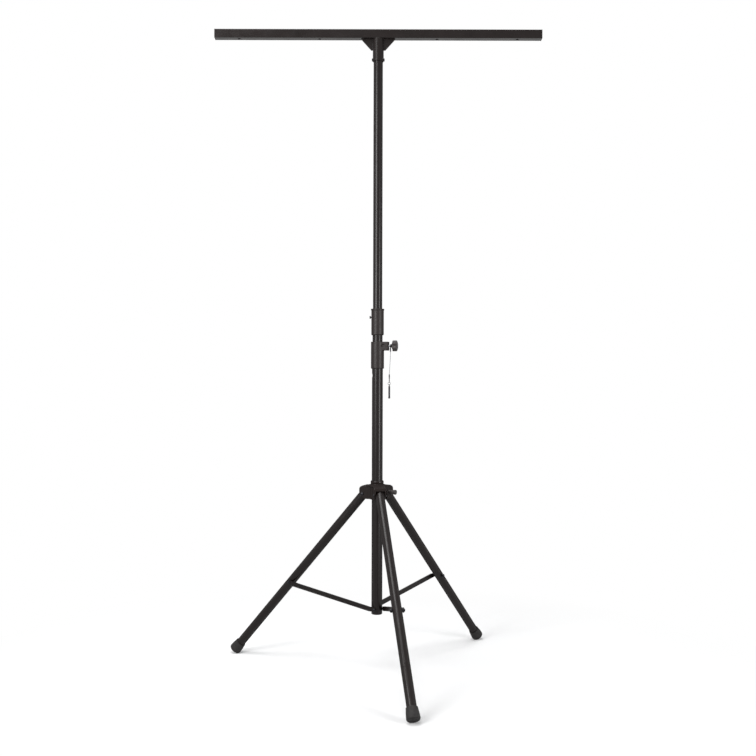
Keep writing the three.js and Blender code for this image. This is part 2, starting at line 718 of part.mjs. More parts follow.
function lanyard() {
  const hangRadius = CLAMP_BOSS_REACH + CLAMP_STEM - LOOP_SIDE_GAP - WIRE_R;
  const loopDrop = LOOP_R - WIRE_R - LOCK_SCREW_R - GAP;
  const ferruleFoot = WIRE_ROUTE[0][2] + GAP;
  const loop = join(
    alongX(ring(LOOP_R, WIRE_R)),
    rod(FERRULE_R, ferruleFoot, -LOOP_R, SMALL_ROUND / 2),
  );
  const [wireEndX, wireEndY, wireEndZ] = WIRE_ROUTE[WIRE_ROUTE.length - 1];
  const endFerruleTop = wireEndZ - GAP;
  const endFerruleFoot = endFerruleTop - FERRULE_LENGTH;
  const endLoopHalf = END_LOOP_R * END_LOOP_STRETCH_SHARE;
  const endLoopZ = endFerruleFoot - endLoopHalf + WIRE_R;
  const endLoop = join(
    alongX(ring(END_LOOP_R, WIRE_R)).scale(1, 1, END_LOOP_STRETCH_SHARE).translate(0, 0, endLoopZ),
    rod(FERRULE_R, endFerruleFoot, endFerruleTop, SMALL_ROUND / 2),
  );
  const endLoopFoot = endLoopZ - endLoopHalf;
  const wireSag = WIRE_R * END_LOOP_STRETCH_SHARE + RING_WIRE_R + GAP;
  const ringZ = endLoopFoot + wireSag - RING_R;
  const pinEyeZ = ringZ - RING_R + RING_WIRE_R + GAP - PIN_EYE_R;
  const hung = group([
    piece('lanyard_end', shaped(endLoop), 'black_steel'),
    piece('split_ring', alongY(ring(RING_R, RING_WIRE_R)).translate(0, 0, ringZ), 'black_steel'),
    piece('lock_pin', lockPin(pinEyeZ), 'black_steel'),
  ], { x: wireEndX, y: wireEndY });
  const pieces = [
    piece('lanyard_loop', shaped(loop), 'black_steel'),
    piece('lanyard_wire', wire(), 'steel'),
    hung,
  ];
  return group(pieces, { x: hangRadius, z: clampZ - loopDrop });
}

function wire() {
  const path = new THREE.CatmullRomCurve3(WIRE_ROUTE.map(([x, y, z]) => new THREE.Vector3(x, y, z)));
  const section = new THREE.Shape(arc(0, 0, WIRE_R, 0, 360 - 360 / CORD_ROUND, CORD_ROUND - 1)
    .map(([x, y]) => new THREE.Vector2(x, y)));
  return new THREE.ExtrudeGeometry(section, { steps: WIRE_STEPS, extrudePath: path });
}

function lockPin(eyeZ) {
  const top = eyeZ + PIN_EYE_R + PIN_TONGUE / 2;
  const foot = top - PIN_LENGTH;
  const shank = turned([
    [0, top],
    [PIN_R, top],
    [PIN_R, foot + PIN_TIP],
    [PIN_TIP_R, foot + PIN_TIP - PIN_TIP_EDGE],
    [PIN_TIP_R, foot + PIN_TIP_EDGE],
    [PIN_TIP_R - PIN_TIP_EDGE, foot],
    [0, foot],
  ], SMALL_ROUND);
  const flat = (side) => new THREE.BoxGeometry(PIN_R, 2 * PIN_R + CUT, PIN_TONGUE_LENGTH * 2)
    .translate(side * (PIN_TONGUE + PIN_R) / 2, 0, top);
  const eye = alongX(rod(PIN_EYE_R, -PIN_R - CUT, PIN_R + CUT)).translate(0, 0, eyeZ);
  return shaped(cut(solid(shank), flat(-1), flat(1), eye));
}

// Hub: casting, bush, leg rivets, and the lock with its pad, screw and knob

function hub() {
  const bushBore = bottomTubeR + GAP;
  const bushR = bushBore + HUB_BUSH_WALL;
  const pocketTop = LEG_R + POCKET_HEADROOM;
  const deck = pocketTop + HUB_ROOF;
  const cheekFoot = -LEG_R - CHEEK_BELOW;
  const foot = cheekFoot - HUB_FOOT_DROP;
  const neckTop = deck + HUB_NECK;
  const neckR = bushR + GAP + HUB_NECK_WALL;
  const beadFoot = neckTop - HUB_BEAD;
  const core = turned([
    [0, foot],
    [HUB_CORE_R - COLLAR_CHAMFER, foot],
    [HUB_CORE_R, foot + COLLAR_CHAMFER],
    [HUB_CORE_R, deck - HUB_SHOULDER_UNDER],
    [HUB_SHOULDER_R, deck - HUB_SHOULDER_EDGE],
    [HUB_SHOULDER_R, deck],
    [neckR + HUB_GROOVE_FLARE, beadFoot - HUB_GROOVE],
    [neckR - HUB_GROOVE_DEPTH, beadFoot - HUB_GROOVE],
    [neckR - HUB_GROOVE_DEPTH, beadFoot],
    [neckR, beadFoot + HUB_NECK_CHAMFER],
    [neckR + HUB_BEAD_BULGE, beadFoot + HUB_BEAD / 2],
    [neckR, neckTop - HUB_NECK_CHAMFER],
    [neckR - HUB_NECK_CHAMFER, neckTop],
    [0, neckTop],
  ]);
  const lockBoss = boss(
    HUB_CORE_R + HUB_BOSS_REACH, HUB_BOSS_WIDTH, HUB_BOSS_EDGE,
    HUB_LOCK_RISE - HUB_BOSS_BELOW, HUB_LOCK_RISE + HUB_BOSS_ABOVE,
  ).rotateZ(radians(HUB_LOCK_AZIMUTH));
  const housings = LEG_AZIMUTHS.map((azimuth) => legHousing(azimuth, cheekFoot, deck, pocketTop));
  const padBack = bushBore + LOCK_PAD_LENGTH;
  const lockBore = (radius, reach) => alongX(rod(radius, 0, reach))
    .rotateZ(radians(HUB_LOCK_AZIMUTH))
    .translate(0, 0, HUB_LOCK_RISE);
  const bossReach = HUB_CORE_R + HUB_BOSS_REACH;
  const shell = cut(
    housings.reduce((sum, housing) => sum.add(housing), join(core, lockBoss)),
    rod(bushR + GAP, foot - CUT, neckTop + CUT, ROUND),
    lockBore(LOCK_SCREW_R + GAP, bossReach + CUT),
    lockBore(LOCK_PAD_R + GAP, padBack + LOCK_SCREW_R),
  );
  const bush = cut(
    solid(pipe(bushR, bushBore, foot + GAP, neckTop - GAP)),
    lockBore(LOCK_PAD_R + GAP, HUB_CORE_R),
  );
  const lock = group(
    [...lockScrew('hub', bushBore, padBack, bossReach), hubKnob(bossReach + GAP)],
    { z: HUB_LOCK_RISE, azimuth: radians(HUB_LOCK_AZIMUTH) },
  );
  return group([
    piece('hub_casting', shaped(shell), 'cast_black'),
    piece('hub_bush', shaped(bush), 'nylon'),
    ...LEG_AZIMUTHS.map((azimuth, i) => legRivet(azimuth, i)),
    lock,
  ], { z: pivotZ });
}

// Two cheeks, a roof and a front lip around the top of a leg, open below and outwards
function legHousing(azimuth, cheekFoot, deck, pocketTop) {
  const reach = PIVOT_RADIUS + HOUSING_REACH;
  const innerHalf = LEG_R + CHEEK_SIDE_GAP;
  const outline = HOUSING_OUTLINE_SHARES.map(([r, z]) => [r * reach, cheekFoot + z * (deck - cheekFoot)]);
  const front = reach - FRONT_WALL;
  const lip = Math.sqrt((LEG_R + LEG_TURN_GAP) ** 2 - (front - PIVOT_RADIUS) ** 2);
  const pocket = [
    [0, cheekFoot - CUT],
    [reach + CUT, cheekFoot - CUT],
    [reach + CUT, lip],
    [front, lip],
    [front, Math.max(lip, pocketTop * POCKET_SLOPE_HEIGHT_SHARE)],
    [reach * POCKET_SLOPE_RADIUS_SHARE, pocketTop],
    [0, pocketTop],
  ];
  const turn = radians(azimuth);
  const rivetHole = alongY(rod(RIVET_R + GAP, -innerHalf - 2 * CHEEK, innerHalf + 2 * CHEEK))
    .translate(PIVOT_RADIUS, 0, 0);
  return cut(
    solid(plate(outline, 2 * (innerHalf + CHEEK)).rotateZ(turn)),
    plate(pocket, 2 * innerHalf).rotateZ(turn),
    rivetHole.rotateZ(turn),
  );
}

function legRivet(azimuth, i) {
  const face = LEG_R + CHEEK_SIDE_GAP + CHEEK + GAP;
  const half = [
    [RIVET_HEAD_R, face],
    [RIVET_HEAD_R * 0.9, face + RIVET_HEAD * 0.6],
    [RIVET_HEAD_R * 0.5, face + RIVET_HEAD],
    [0, face + RIVET_HEAD],
  ];
  const mirrored = half.map(([r, z]) => [r, -z]).reverse();
  const rivet = alongY(turned([...mirrored, [RIVET_R, -face], [RIVET_R, face], ...half], SMALL_ROUND));
  rivet.translate(PIVOT_RADIUS, 0, 0);
  return group([piece(`leg_rivet_${i + 1}`, rivet, 'black_steel')], { azimuth: radians(azimuth) });
}

function hubKnob(foot) {
  const end = foot + HUB_KNOB_LENGTH;
  const knob = turned([
    [0, foot + CLAMP_CONE],
    [LOCK_SCREW_R + GAP, foot + CLAMP_CONE],
    [LOCK_SCREW_R + GAP, foot],
    [HUB_KNOB_WAIST_R, foot],
    [HUB_KNOB_WAIST_R, foot + HUB_KNOB_LENGTH / 2],
    [HUB_KNOB_R, end - 2 * HUB_KNOB_EDGE],
    [HUB_KNOB_R, end - HUB_KNOB_EDGE],
    [HUB_KNOB_R - HUB_KNOB_EDGE, end],
    [0, end],
  ], ROUND);
  return piece('hub_knob', alongX(knob), 'black_plastic');
}

// Legs, each in its own frame: the pivot is the origin and the tube runs down

function leg(azimuth, i) {
  const tubeFoot = FOOT_SOLE + GAP - LEG_LENGTH;
  const bore = LEG_R - LEG_WALL;
  const roundedEnd = (radius, foot) => plate(
    [...arc(0, 0, radius, 0, 180, ROUND / 2), [-radius, foot], [radius, foot]],
    2 * LEG_R + CUT,
  );
  const pivotHole = () => alongY(rod(RIVET_R + GAP, -LEG_R - CUT, LEG_R + CUT));
  const boltHole = alongY(rod(BOLT_R + GAP, -LEG_R - CUT, LEG_R + CUT)).translate(0, 0, -LEG_BOLT_DISTANCE);
  const tube = cut(
    solid(pipe(LEG_R, bore, tubeFoot, LEG_R)).intersect(solid(roundedEnd(LEG_R, tubeFoot - CUT))),
    pivotHole(),
    boltHole,
  );
  const plugR = bore - GAP;
  const plug = cut(
    solid(rod(plugR, -LEG_PLUG_LENGTH, LEG_R, ROUND))
      .intersect(solid(roundedEnd(LEG_R, -LEG_PLUG_LENGTH - CUT))),
    pivotHole(),
  );
  const foot = turned(footProfile.map(([r, down]) => [r, -down]));
  const pieces = [
    piece(`leg_tube_${i + 1}`, shaped(tube), 'powder_coat'),
    piece(`leg_top_plug_${i + 1}`, shaped(plug), 'nylon'),
    piece(`foot_cap_${i + 1}`, foot, 'rubber'),
    legBolt(i),
  ];
  const hinged = group(pieces, { x: PIVOT_RADIUS, z: pivotZ, lean: -tilt });
  return group([hinged], { azimuth: radians(azimuth) });
}

// The bolt through a leg, with its nut on one side and the spacer to the brace on the other
function legBolt(i) {
  const side = LEG_R + GAP;
  const shank = alongY(rod(BOLT_R, -side - NUT_THICK - CUT, bracePlane - GAP));
  const nut = alongY(rod(NUT_R, -side - NUT_THICK, -side, HEX));
  const spacer = alongY(rod(SPACER_R, side, bracePlane - GAP));
  const bolt = join(shank, nut, spacer).translate([0, 0, -LEG_BOLT_DISTANCE]);
  return piece(`leg_bolt_${i + 1}`, shaped(bolt), 'black_steel');
}

// Braces, each in its own frame: the mast bolt is the origin and the channel runs up Z

function brace(azimuth, i) {
  const half = BRACE_WIDTH / 2;
  const web = plate(
    [...arc(0, 0, half, 180, 360, ROUND / 4), ...arc(0, BRACE_LENGTH, half, 0, 180, ROUND / 4)],
    BRACE_SHEET,
    BRACE_SHEET / 2,
  );
  const flangeOutline = (side) => [
    [side * half, BRACE_FLANGE_SETBACK],
    [side * half, BRACE_LENGTH - BRACE_FLANGE_SETBACK],
    [side * (half - BRACE_SHEET), BRACE_LENGTH - BRACE_FLANGE_SETBACK],
    [side * (half - BRACE_SHEET), BRACE_FLANGE_SETBACK],
  ];
  const flange = (side) => plate(flangeOutline(side), BRACE_FLANGE, BRACE_FLANGE / 2);
  const hole = (z) => alongY(rod(BOLT_R + GAP, -CUT, BRACE_SHEET + CUT)).translate(0, 0, z);
  const channel = cut(join(web, flange(-1), flange(1)), hole(0), hole(BRACE_LENGTH));
  const head = alongY(turned([
    [0, 0],
    [BOLT_R, 0],
    [BOLT_R, BRACE_SHEET + GAP],
    ...panHead(BRACE_SHEET + GAP),
  ], SMALL_ROUND)).translate(0, 0, BRACE_LENGTH);
  const pieces = [
    piece(`brace_${i + 1}`, shaped(channel), 'powder_coat'),
    piece(`brace_bolt_head_${i + 1}`, head, 'black_steel'),
  ];
  const hinged = group(pieces, { x: BRACE_ROOT, y: bracePlane, z: mastBoltZ, lean: braceLean });
  return group([hinged], { azimuth: radians(azimuth) });
}

const stand = group(
  [
    tBar(),
    barSocket(),
    topSection(),
    middleSection(),
    mast(),
    lowerCollar(),
    hub(),
    ...LEG_AZIMUTHS.map((azimuth, i) => leg(azimuth, i)),
    ...LEG_AZIMUTHS.map((azimuth, i) => brace(azimuth, i)),
  ],
  { y: -(footprintBack + footprintFront) / 2 },
);

export default stand;
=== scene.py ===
# %% [markdown]
# # A lighting T bar stand
#
# The stand is a square steel bar on a telescopic mast, over a folding tripod. The frame
# brings the CAD solids, already in their places and tied to the bodies that move. This
# lesson dresses them: finer turned parts, castings with softened edges, threads, weld
# beads, a stranded wire and the finishes of a powder-coated steel stand.

# %% Frame
import json
from math import cos, radians, sin

import bmesh
import bpy
import numpy as np
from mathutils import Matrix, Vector


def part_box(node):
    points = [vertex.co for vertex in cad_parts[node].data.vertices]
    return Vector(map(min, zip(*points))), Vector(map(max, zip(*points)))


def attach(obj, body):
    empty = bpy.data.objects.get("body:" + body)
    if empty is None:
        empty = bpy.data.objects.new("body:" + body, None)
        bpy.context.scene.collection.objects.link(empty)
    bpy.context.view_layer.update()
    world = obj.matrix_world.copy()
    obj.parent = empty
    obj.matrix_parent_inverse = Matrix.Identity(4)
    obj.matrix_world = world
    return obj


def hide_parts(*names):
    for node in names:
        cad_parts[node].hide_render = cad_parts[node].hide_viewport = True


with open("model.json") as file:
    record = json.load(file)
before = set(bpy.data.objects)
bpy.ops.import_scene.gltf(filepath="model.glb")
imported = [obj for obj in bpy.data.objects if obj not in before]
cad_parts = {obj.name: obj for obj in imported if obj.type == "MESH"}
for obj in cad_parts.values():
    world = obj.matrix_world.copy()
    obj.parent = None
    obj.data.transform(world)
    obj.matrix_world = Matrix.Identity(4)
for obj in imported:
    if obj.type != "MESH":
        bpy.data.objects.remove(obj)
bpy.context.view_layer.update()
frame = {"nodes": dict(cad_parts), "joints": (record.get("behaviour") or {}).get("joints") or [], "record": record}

# %% [markdown]
# ## Where things are
#
# Every place comes from the frame. The mast's axis is the middle of the bottom tube, and
# each hinge tells where a leg or a brace turns. A small set of directions is enough to
# stand any profile up in its place: outwards from the mast, sideways, and along the piece.

# %% Places
mm = 0.001
CLEARANCE = 0.3 * mm
UP = np.array([0.0, 0.0, 1.0])
DOWN, LEFT, RIGHT, FRONT, BACK = (0, 0, -1), (-1, 0, 0), (1, 0, 0), (0, -1, 0), (0, 1, 0)
LEGS = (1, 2, 3)

joints = {joint["name"]: joint for joint in frame["joints"]}


def middle(node):
    """The centre of a CAD node's box."""
    low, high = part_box(node)
    return (np.array(low) + np.array(high)) / 2


def heights(node):
    """The lowest and highest z of a CAD node."""
    low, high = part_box(node)
    return low.z, high.z


def on_mast(height):
    """The point of the mast's axis at a height."""
    return np.array([mast_x, mast_y, height])


def level(name):
    """A joint's level axis as a direction."""
    return np.array(joints[name]["axis"], float)


def sideways(outwards):
    """The level direction to the left of an outward one."""
    return np.array([-outwards[1], outwards[0], 0.0])


mast_x, mast_y = middle("bottom_tube")[:2]
leg_out = {leg: -sideways(level(f"leg_{leg}_fold")) for leg in LEGS}
pivot_z = joints["leg_1_fold"]["pos_m"][2]
mast_bolt_z = joints["brace_1_fold"]["pos_m"][2]
bottom_foot, bottom_top = heights("bottom_tube")
print("mast axis", round(mast_x, 4), round(mast_y, 4), "pivots at", round(pivot_z, 4))

# %% New objects


def in_scene(name, data):
    """A new object, put in the scene."""
    made = bpy.data.objects.new(name, data)
    bpy.context.scene.collection.objects.link(made)
    return made


# %% [markdown]
# ## The camera
#
# The photograph was taken level, from about chest height, with a slightly long lens: its
# horizon is at the middle of the picture, and the feet, pivots and bar all agree on a
# distance of 3.64 m. The whole picture leans by 0.15 of a degree, which the camera
# repeats as a roll. The picture is square, so a 36 mm film side gives the focal length.

# %% Camera
PICTURE = 756
FOCAL_PIXELS = 987.75
CAMERA_DISTANCE = 3.6383
CAMERA_HEIGHT = 1.0721
CAMERA_ASIDE = 0.0021
CAMERA_ROLL = -0.15
FILM_SIDE = 36.0

camera_data = bpy.data.cameras.new("camera")
camera_data.sensor_width = FILM_SIDE
camera_data.sensor_height = FILM_SIDE
camera_data.sensor_fit = "AUTO"
camera_data.lens = FILM_SIDE * FOCAL_PIXELS / PICTURE
camera = in_scene("camera", camera_data)
camera.location = (mast_x + CAMERA_ASIDE, mast_y - CAMERA_DISTANCE, CAMERA_HEIGHT)
camera.rotation_euler = (radians(90), radians(CAMERA_ROLL), 0)
bpy.context.scene.camera = camera
bpy.context.scene.view_settings.view_transform = "Standard"
print("lens", round(camera_data.lens, 2), "mm")

# %% [markdown]
# ## Light, floor and background
#
# A product photograph is lit by big soft boxes, whose mirror images make the long pale
# streaks on dark tubes. Two tall boxes stand at the left and right of the camera and one
# hangs above. The white surroundings are seen by the camera and by reflections alone, so
# they brighten nothing, and the floor is white paper that keeps a faint shadow. Away from
# the stand the paper's own shade fades out, so that no horizon shows.

# %% Colours and nodes


def linear(hex_colour):
    """An sRGB hex colour as linear red, green, blue and alpha."""
    channels = np.array([int(hex_colour[i:i + 2], 16) / 255 for i in (0, 2, 4)])
    low, high = channels / 12.92, ((channels + 0.055) / 1.055) ** 2.4
    return (*np.where(channels <= 0.04045, low, high), 1.0)


def add(tree, kind, inputs=(), **settings):
    """Adds a node, sets its settings, and fills its inputs with values or links."""
    node = tree.nodes.new(kind)
    for name, value in settings.items():
        setattr(node, name, value)
    for key, value in dict(inputs).items():
        if isinstance(value, bpy.types.NodeSocket):
            tree.links.new(value, node.inputs[key])
        else:
            node.inputs[key].default_value = value
    return node


def fresh_tree(owner):
    """An empty node tree for a material or the world."""
    owner.use_nodes = True
    owner.node_tree.nodes.clear()
    return owner.node_tree


def seen_or_mirrored(tree):
    """One for rays of the camera, of gloss and of glass, and zero for the rest."""
    path = add(tree, "ShaderNodeLightPath")
    seen = add(tree, "ShaderNodeMath", {0: path.outputs["Is Camera Ray"],
               1: path.outputs["Is Glossy Ray"]}, operation="MAXIMUM")
    return add(tree, "ShaderNodeMath", {0: seen.outputs[0],
               1: path.outputs["Is Transmission Ray"]}, operation="MAXIMUM").outputs[0]


# %% World
AMBIENT = 0.26

world = bpy.data.worlds.new("white_studio")
bpy.context.scene.world = world
tree = fresh_tree(world)
white = add(tree, "ShaderNodeBackground", {"Color": linear("ffffff"), "Strength": 1.0})
soft = add(tree, "ShaderNodeBackground", {"Color": linear("f6f8fb"), "Strength": AMBIENT})
shown = add(tree, "ShaderNodeMixShader", {0: seen_or_mirrored(tree),
            1: soft.outputs[0], 2: white.outputs[0]})
add(tree, "ShaderNodeOutputWorld", {"Surface": shown.outputs[0]})
print("ambient light", AMBIENT)

# %% Floor
FLOOR_SIDE = 30.0
PAPER_SHARE = 0.85
PAPER_REACH = 1.6
# The boxes stand in front, so the paper is toned darker there than at the back, from this
# place and lightness to that, and is evenly white but for the stand's soft shadows.
PAPER_FRONT, FRONT_TONE = -0.75, 0.65
PAPER_BACK, BACK_TONE = 0.8, 1.0

paper = bpy.data.materials.new("white_paper")
tree = fresh_tree(paper)
place = add(tree, "ShaderNodeTexCoord").outputs["Object"]
depth = add(tree, "ShaderNodeSeparateXYZ", {"Vector": place}).outputs["Y"]
tone = add(tree, "ShaderNodeMapRange", {0: depth, 1: PAPER_FRONT, 2: PAPER_BACK, 3: FRONT_TONE,
           4: BACK_TONE}).outputs[0]
matt = add(tree, "ShaderNodeBsdfDiffuse", {"Color": tone})
glow = add(tree, "ShaderNodeEmission", {"Color": linear("ffffff"), "Strength": 1.0})
spot = add(tree, "ShaderNodeMapping", {"Vector": place, "Scale": (1 / PAPER_REACH,) * 3})
near = add(tree, "ShaderNodeTexGradient", {"Vector": spot.outputs[0]}, gradient_type="SPHERICAL")
glow_share = add(tree, "ShaderNodeMapRange", {0: near.outputs["Fac"], 1: 0.0, 2: 0.6, 3: 1.0,
                 4: 1 - PAPER_SHARE}, interpolation_type="SMOOTHSTEP")
shown = add(tree, "ShaderNodeMath", {0: seen_or_mirrored(tree), 1: glow_share.outputs[0]},
            operation="MULTIPLY")
both = add(tree, "ShaderNodeMixShader", {0: shown.outputs[0], 1: matt.outputs[0],
           2: glow.outputs[0]})
add(tree, "ShaderNodeOutputMaterial", {"Surface": both.outputs[0]})

half = FLOOR_SIDE / 2
floor_mesh = bpy.data.meshes.new("floor")
floor_mesh.from_pydata(
    [(-half, -half, 0), (half, -half, 0), (half, half, 0), (-half, half, 0)], [], [(0, 1, 2, 3)])
floor_mesh.materials.append(paper)
floor = in_scene("floor", floor_mesh)
print("floor side", FLOOR_SIDE, "m")

# %% Lamps


def soft_box(name, place, target, width, height, power):
    """A rectangular lamp that faces a point."""
    data = bpy.data.lights.new(name, "AREA")
    data.shape = "RECTANGLE"
    data.size, data.size_y, data.energy = width, height, power
    lamp = in_scene(name, data)
    lamp.location = place
    lamp.rotation_euler = (Vector(target) - Vector(place)).to_track_quat("-Z", "Y").to_euler()
    return lamp


CHEST = (mast_x, mast_y, 1.1)
soft_box("left_box", (-1.9, -2.2, 2.05), (mast_x, mast_y, 1.9), 1.2, 2.0, 110)
soft_box("right_box", (2.25, -1.9, 1.15), CHEST, 0.8, 1.7, 62)
soft_box("top_box", (-0.6, -0.6, 4.2), CHEST, 2.0, 2.0, 110)
print("lamps", [light.name for light in bpy.data.lights])

# %% [markdown]
# ## Finishes
#
# The steel is powder coated: a sprayed plastic powder that is baked until it flows, which
# leaves a satin skin with a faint orange peel. The collars and hub are die-cast aluminium
# under the same black coat, grained or smooth. Knobs are moulded plastic, feet are rubber,
# and the small fasteners are zinc plated, some bright and some blackened. Patterns read
# Object coordinates in metres, so each scale below is one over a real size.

# %% A finish's common parts
CLOUD_ROUGHNESS = 0.55
EVEN = (1, 1, 1)
SLANT_START, SLANT_END, ROUGHER_AT_EDGES = 0.3, 0.7, 0.7


def spots(tree, size, detail=3, stretch=EVEN):
    """A cloudy pattern whose clouds are about this wide, in metres, on the object."""
    place = add(tree, "ShaderNodeTexCoord")
    spread = add(tree, "ShaderNodeMapping", {"Vector": place.outputs["Object"], "Scale": stretch})
    return add(tree, "ShaderNodeTexNoise", {"Vector": spread.outputs[0], "Scale": 1 / size,
               "Detail": detail, "Roughness": CLOUD_ROUGHNESS}).outputs["Fac"]


def clouded(tree, size, low=0, high=1, detail=3, stretch=EVEN, start=0.3, end=0.7):
    """Clouds spread from one number to another: the part of their range from start to end
    is drawn out to run from low to high."""
    clouds = spots(tree, size, detail, stretch)
    return add(tree, "ShaderNodeMapRange",
               {0: clouds, 1: start, 2: end, 3: low, 4: high}).outputs[0]


def edge_wear_and_highlight(tree, start=0.53, end=0.6):
    """From zero on faces to one on convex edges, where the paler colour is painted: partly rubbed wear, partly a
    painted highlight.
    """
    edges = add(tree, "ShaderNodeNewGeometry").outputs["Pointiness"]
    return add(tree, "ShaderNodeMapRange", {0: edges, 1: start, 2: end}).outputs[0]


def matt_at_edges(tree, roughness):
    """A roughness that rises where the surface is seen at a slant: a sprayed or cast skin is
    too uneven to mirror anything sharply there."""
    slant = add(tree, "ShaderNodeLayerWeight", {"Blend": 0.5}).outputs["Facing"]
    rise = add(tree, "ShaderNodeMapRange",
               {0: slant, 1: SLANT_START, 2: SLANT_END, 4: ROUGHER_AT_EDGES})
    return add(tree, "ShaderNodeMath", {0: roughness, 1: rise.outputs[0]},
               operation="ADD", use_clamp=True).outputs[0]


def relief(tree, layers):
    """Small relief in layers, the lowest first: cloud width, detail, height and strength."""
    normal = {}
    for size, detail, height, strength in layers:
        bump = add(tree, "ShaderNodeBump", {"Height": spots(tree, size, detail),
                   "Distance": height, "Strength": strength, **normal})
        normal = {"Normal": bump.outputs[0]}
    return normal


def finish(name, colours, worn, rough, layers, matt_edges=False, **constants):
    """A material. Its two colours are blended by clouds, or, where none are given, by convex edges,
    which are painted paler as worn coat and as a painted highlight; its roughness is clouded too; it has relief in
    layers, and constants on the shader."""
    material = bpy.data.materials.new(name)
    tree = fresh_tree(material)
    # Without clouds, the paler colour is painted on convex edges: partly wear, partly a painted highlight.
    blend = clouded(tree, **worn) if worn else edge_wear_and_highlight(tree)
    colour = add(tree, "ShaderNodeMix", {0: blend, 6: linear(colours[0]), 7: linear(colours[1])},
                 data_type="RGBA")
    roughness = clouded(tree, **rough)
    if matt_edges:
        roughness = matt_at_edges(tree, roughness)
    shader = add(tree, "ShaderNodeBsdfPrincipled", {
        "Base Color": colour.outputs[2], "Roughness": roughness, **relief(tree, layers),
        **{key.replace("_", " "): value for key, value in constants.items()}})
    add(tree, "ShaderNodeOutputMaterial", {"Surface": shader.outputs[0]})
    print("finish", name)
    return material


# %% Powder coat on steel
# Orange peel is about 1 mm across; it is drawn at 3 mm so that it shows at all.
PEEL = (3 * mm, 2, 0.12 * mm)


def powder_coated(name, matt_edges):
    """Satin black powder coat with its orange peel."""
    return finish(
        name, ("0c0706", "120c0b"), dict(size=90 * mm),
        dict(size=40 * mm, low=0.25, high=0.35, detail=5),
        [(*PEEL, 0.3), (0.6 * mm, 2, 0.05 * mm, 0.25)], matt_edges,
        Metallic=0.0, IOR=1.45, Specular_IOR_Level=0.25)


powder_coat = powder_coated("satin_black_powder_coat", False)
leg_coat = powder_coated("powder_coat_on_round_steel", True)

# %% Powder coat on tubes that slide
# Sliding leaves long faint streaks along the mast, finer than the coat's own pattern.
ALONG_MAST = (1, 1, 0.012)

sliding_coat = finish(
    "powder_coat_rubbed_by_sliding", ("0c0706", "181313"),
    dict(size=3 * mm, detail=4, stretch=ALONG_MAST, start=0.45, end=0.8),
    dict(size=4 * mm, low=0.24, high=0.34, detail=4, stretch=ALONG_MAST),
    [(*PEEL, 0.25)], True, Metallic=0.0, IOR=1.45, Specular_IOR_Level=0.25)

# %% Coated die castings
# Convex edges are painted a paler grey: partly the coat worn thin, partly a painted highlight.
# The collars show the mould's grain, at about 1 mm; the hub's coat has flowed out smoother and glossier.


def coated_casting(name, smoothest, roughest, grain, reflection):
    """Black coat on a die casting, over relief of the grain's height."""
    return finish(
        name, ("110907", "2c2422"), None,
        dict(size=8 * mm, low=smoothest, high=roughest, detail=5),
        [(5 * mm, 2, 0.2 * mm, 0.25), (0.9 * mm, 3, grain, 0.45)], True,
        Metallic=0.0, IOR=1.5, Specular_IOR_Level=reflection)


cast_black = coated_casting("grained_coat_on_casting", 0.4, 0.54, 0.12 * mm, 0.28)
hub_coat = coated_casting("glossy_coat_on_casting", 0.26, 0.36, 0.04 * mm, 0.17)

# %% Moulded plastic, nylon and rubber
# Spark erosion leaves the moulds of knobs finely grained. Dust and scuffing make used
# rubber paler and duller in patches.
moulded_plastic = finish(
    "spark_textured_black_plastic", ("150e0d", "1c1614"), dict(size=15 * mm),
    dict(size=6 * mm, low=0.46, high=0.6, detail=4), [(0.7 * mm, 2, 0.06 * mm, 0.5)],
    Metallic=0.0, IOR=1.49, Specular_IOR_Level=0.4)
nylon = finish(
    "black_nylon", ("0f0f10", "171718"), dict(size=10 * mm),
    dict(size=5 * mm, low=0.4, high=0.52), [(1.2 * mm, 2, 0.03 * mm, 0.3)],
    Metallic=0.0, IOR=1.53)
rubber = finish(
    "dull_grey_rubber", ("100e0e", "1c1a19"), dict(size=14 * mm, detail=5),
    dict(size=9 * mm, low=0.6, high=0.8, detail=4), [(1.0 * mm, 4, 0.1 * mm, 0.5)],
    Metallic=0.0, IOR=1.52, Specular_IOR_Level=0.28)

# %% Zinc plate and wire rope
# Wire rope dulls to grey: its strands hide dirt, and little of it faces the light.
PLATE_RELIEF = [(0.8 * mm, 3, 0.02 * mm, 0.3)]

bright_zinc = finish(
    "bright_zinc_plate", ("b9bbbe", "d5d6d8"), dict(size=5 * mm, detail=4),
    dict(size=2 * mm, low=0.2, high=0.36, detail=4), PLATE_RELIEF, Metallic=1.0)
black_zinc = finish(
    "black_zinc_plate", ("1c1c1e", "323235"), dict(size=5 * mm, detail=4),
    dict(size=2 * mm, low=0.34, high=0.46, detail=4), PLATE_RELIEF, Metallic=1.0)
wire_rope = finish(
    "dull_galvanised_wire_rope", ("55565a", "77787b"), dict(size=3 * mm, detail=4),
    dict(size=1 * mm, low=0.45, high=0.6), [(0.5 * mm, 3, 0.02 * mm, 0.3)], Metallic=1.0)

FINISHES = {
    "powder_coat": powder_coat, "cast_black": cast_black, "black_plastic": moulded_plastic,
    "nylon": nylon, "rubber": rubber, "black_steel": black_zinc, "steel": bright_zinc,
}
node_slots = {part["node"]: part["material_slot"] for part in frame["record"]["subparts"]}
for name, node in frame["nodes"].items():
    node.data.materials.clear()
    node.data.materials.append(FINISHES[node_slots[name]])

# %% [markdown]
# ## Making a surface
#
# Turned parts, wires, threads and grips are all one thing: a grid of points over two
# parameters. One runs along a profile or a path, the other runs around. The whole grid is
# worked out as arrays, and doubled points at seams and poles are merged afterwards, which
# closes the surface. Each piece is shaped in its own frame, with its axis upwards, and is
# then stood in its place, so that the three legs can share one shape.

# %% Points


def columns(*values):
    """Coordinates given one by one, as points; a single number serves all of them."""
    return np.stack(np.broadcast_arrays(*values), axis=-1)


def full_turn(count):
    """Angles spread evenly once round a circle."""
    return np.linspace(0, 2 * np.pi, count, endpoint=False)


# %% Grid to mesh


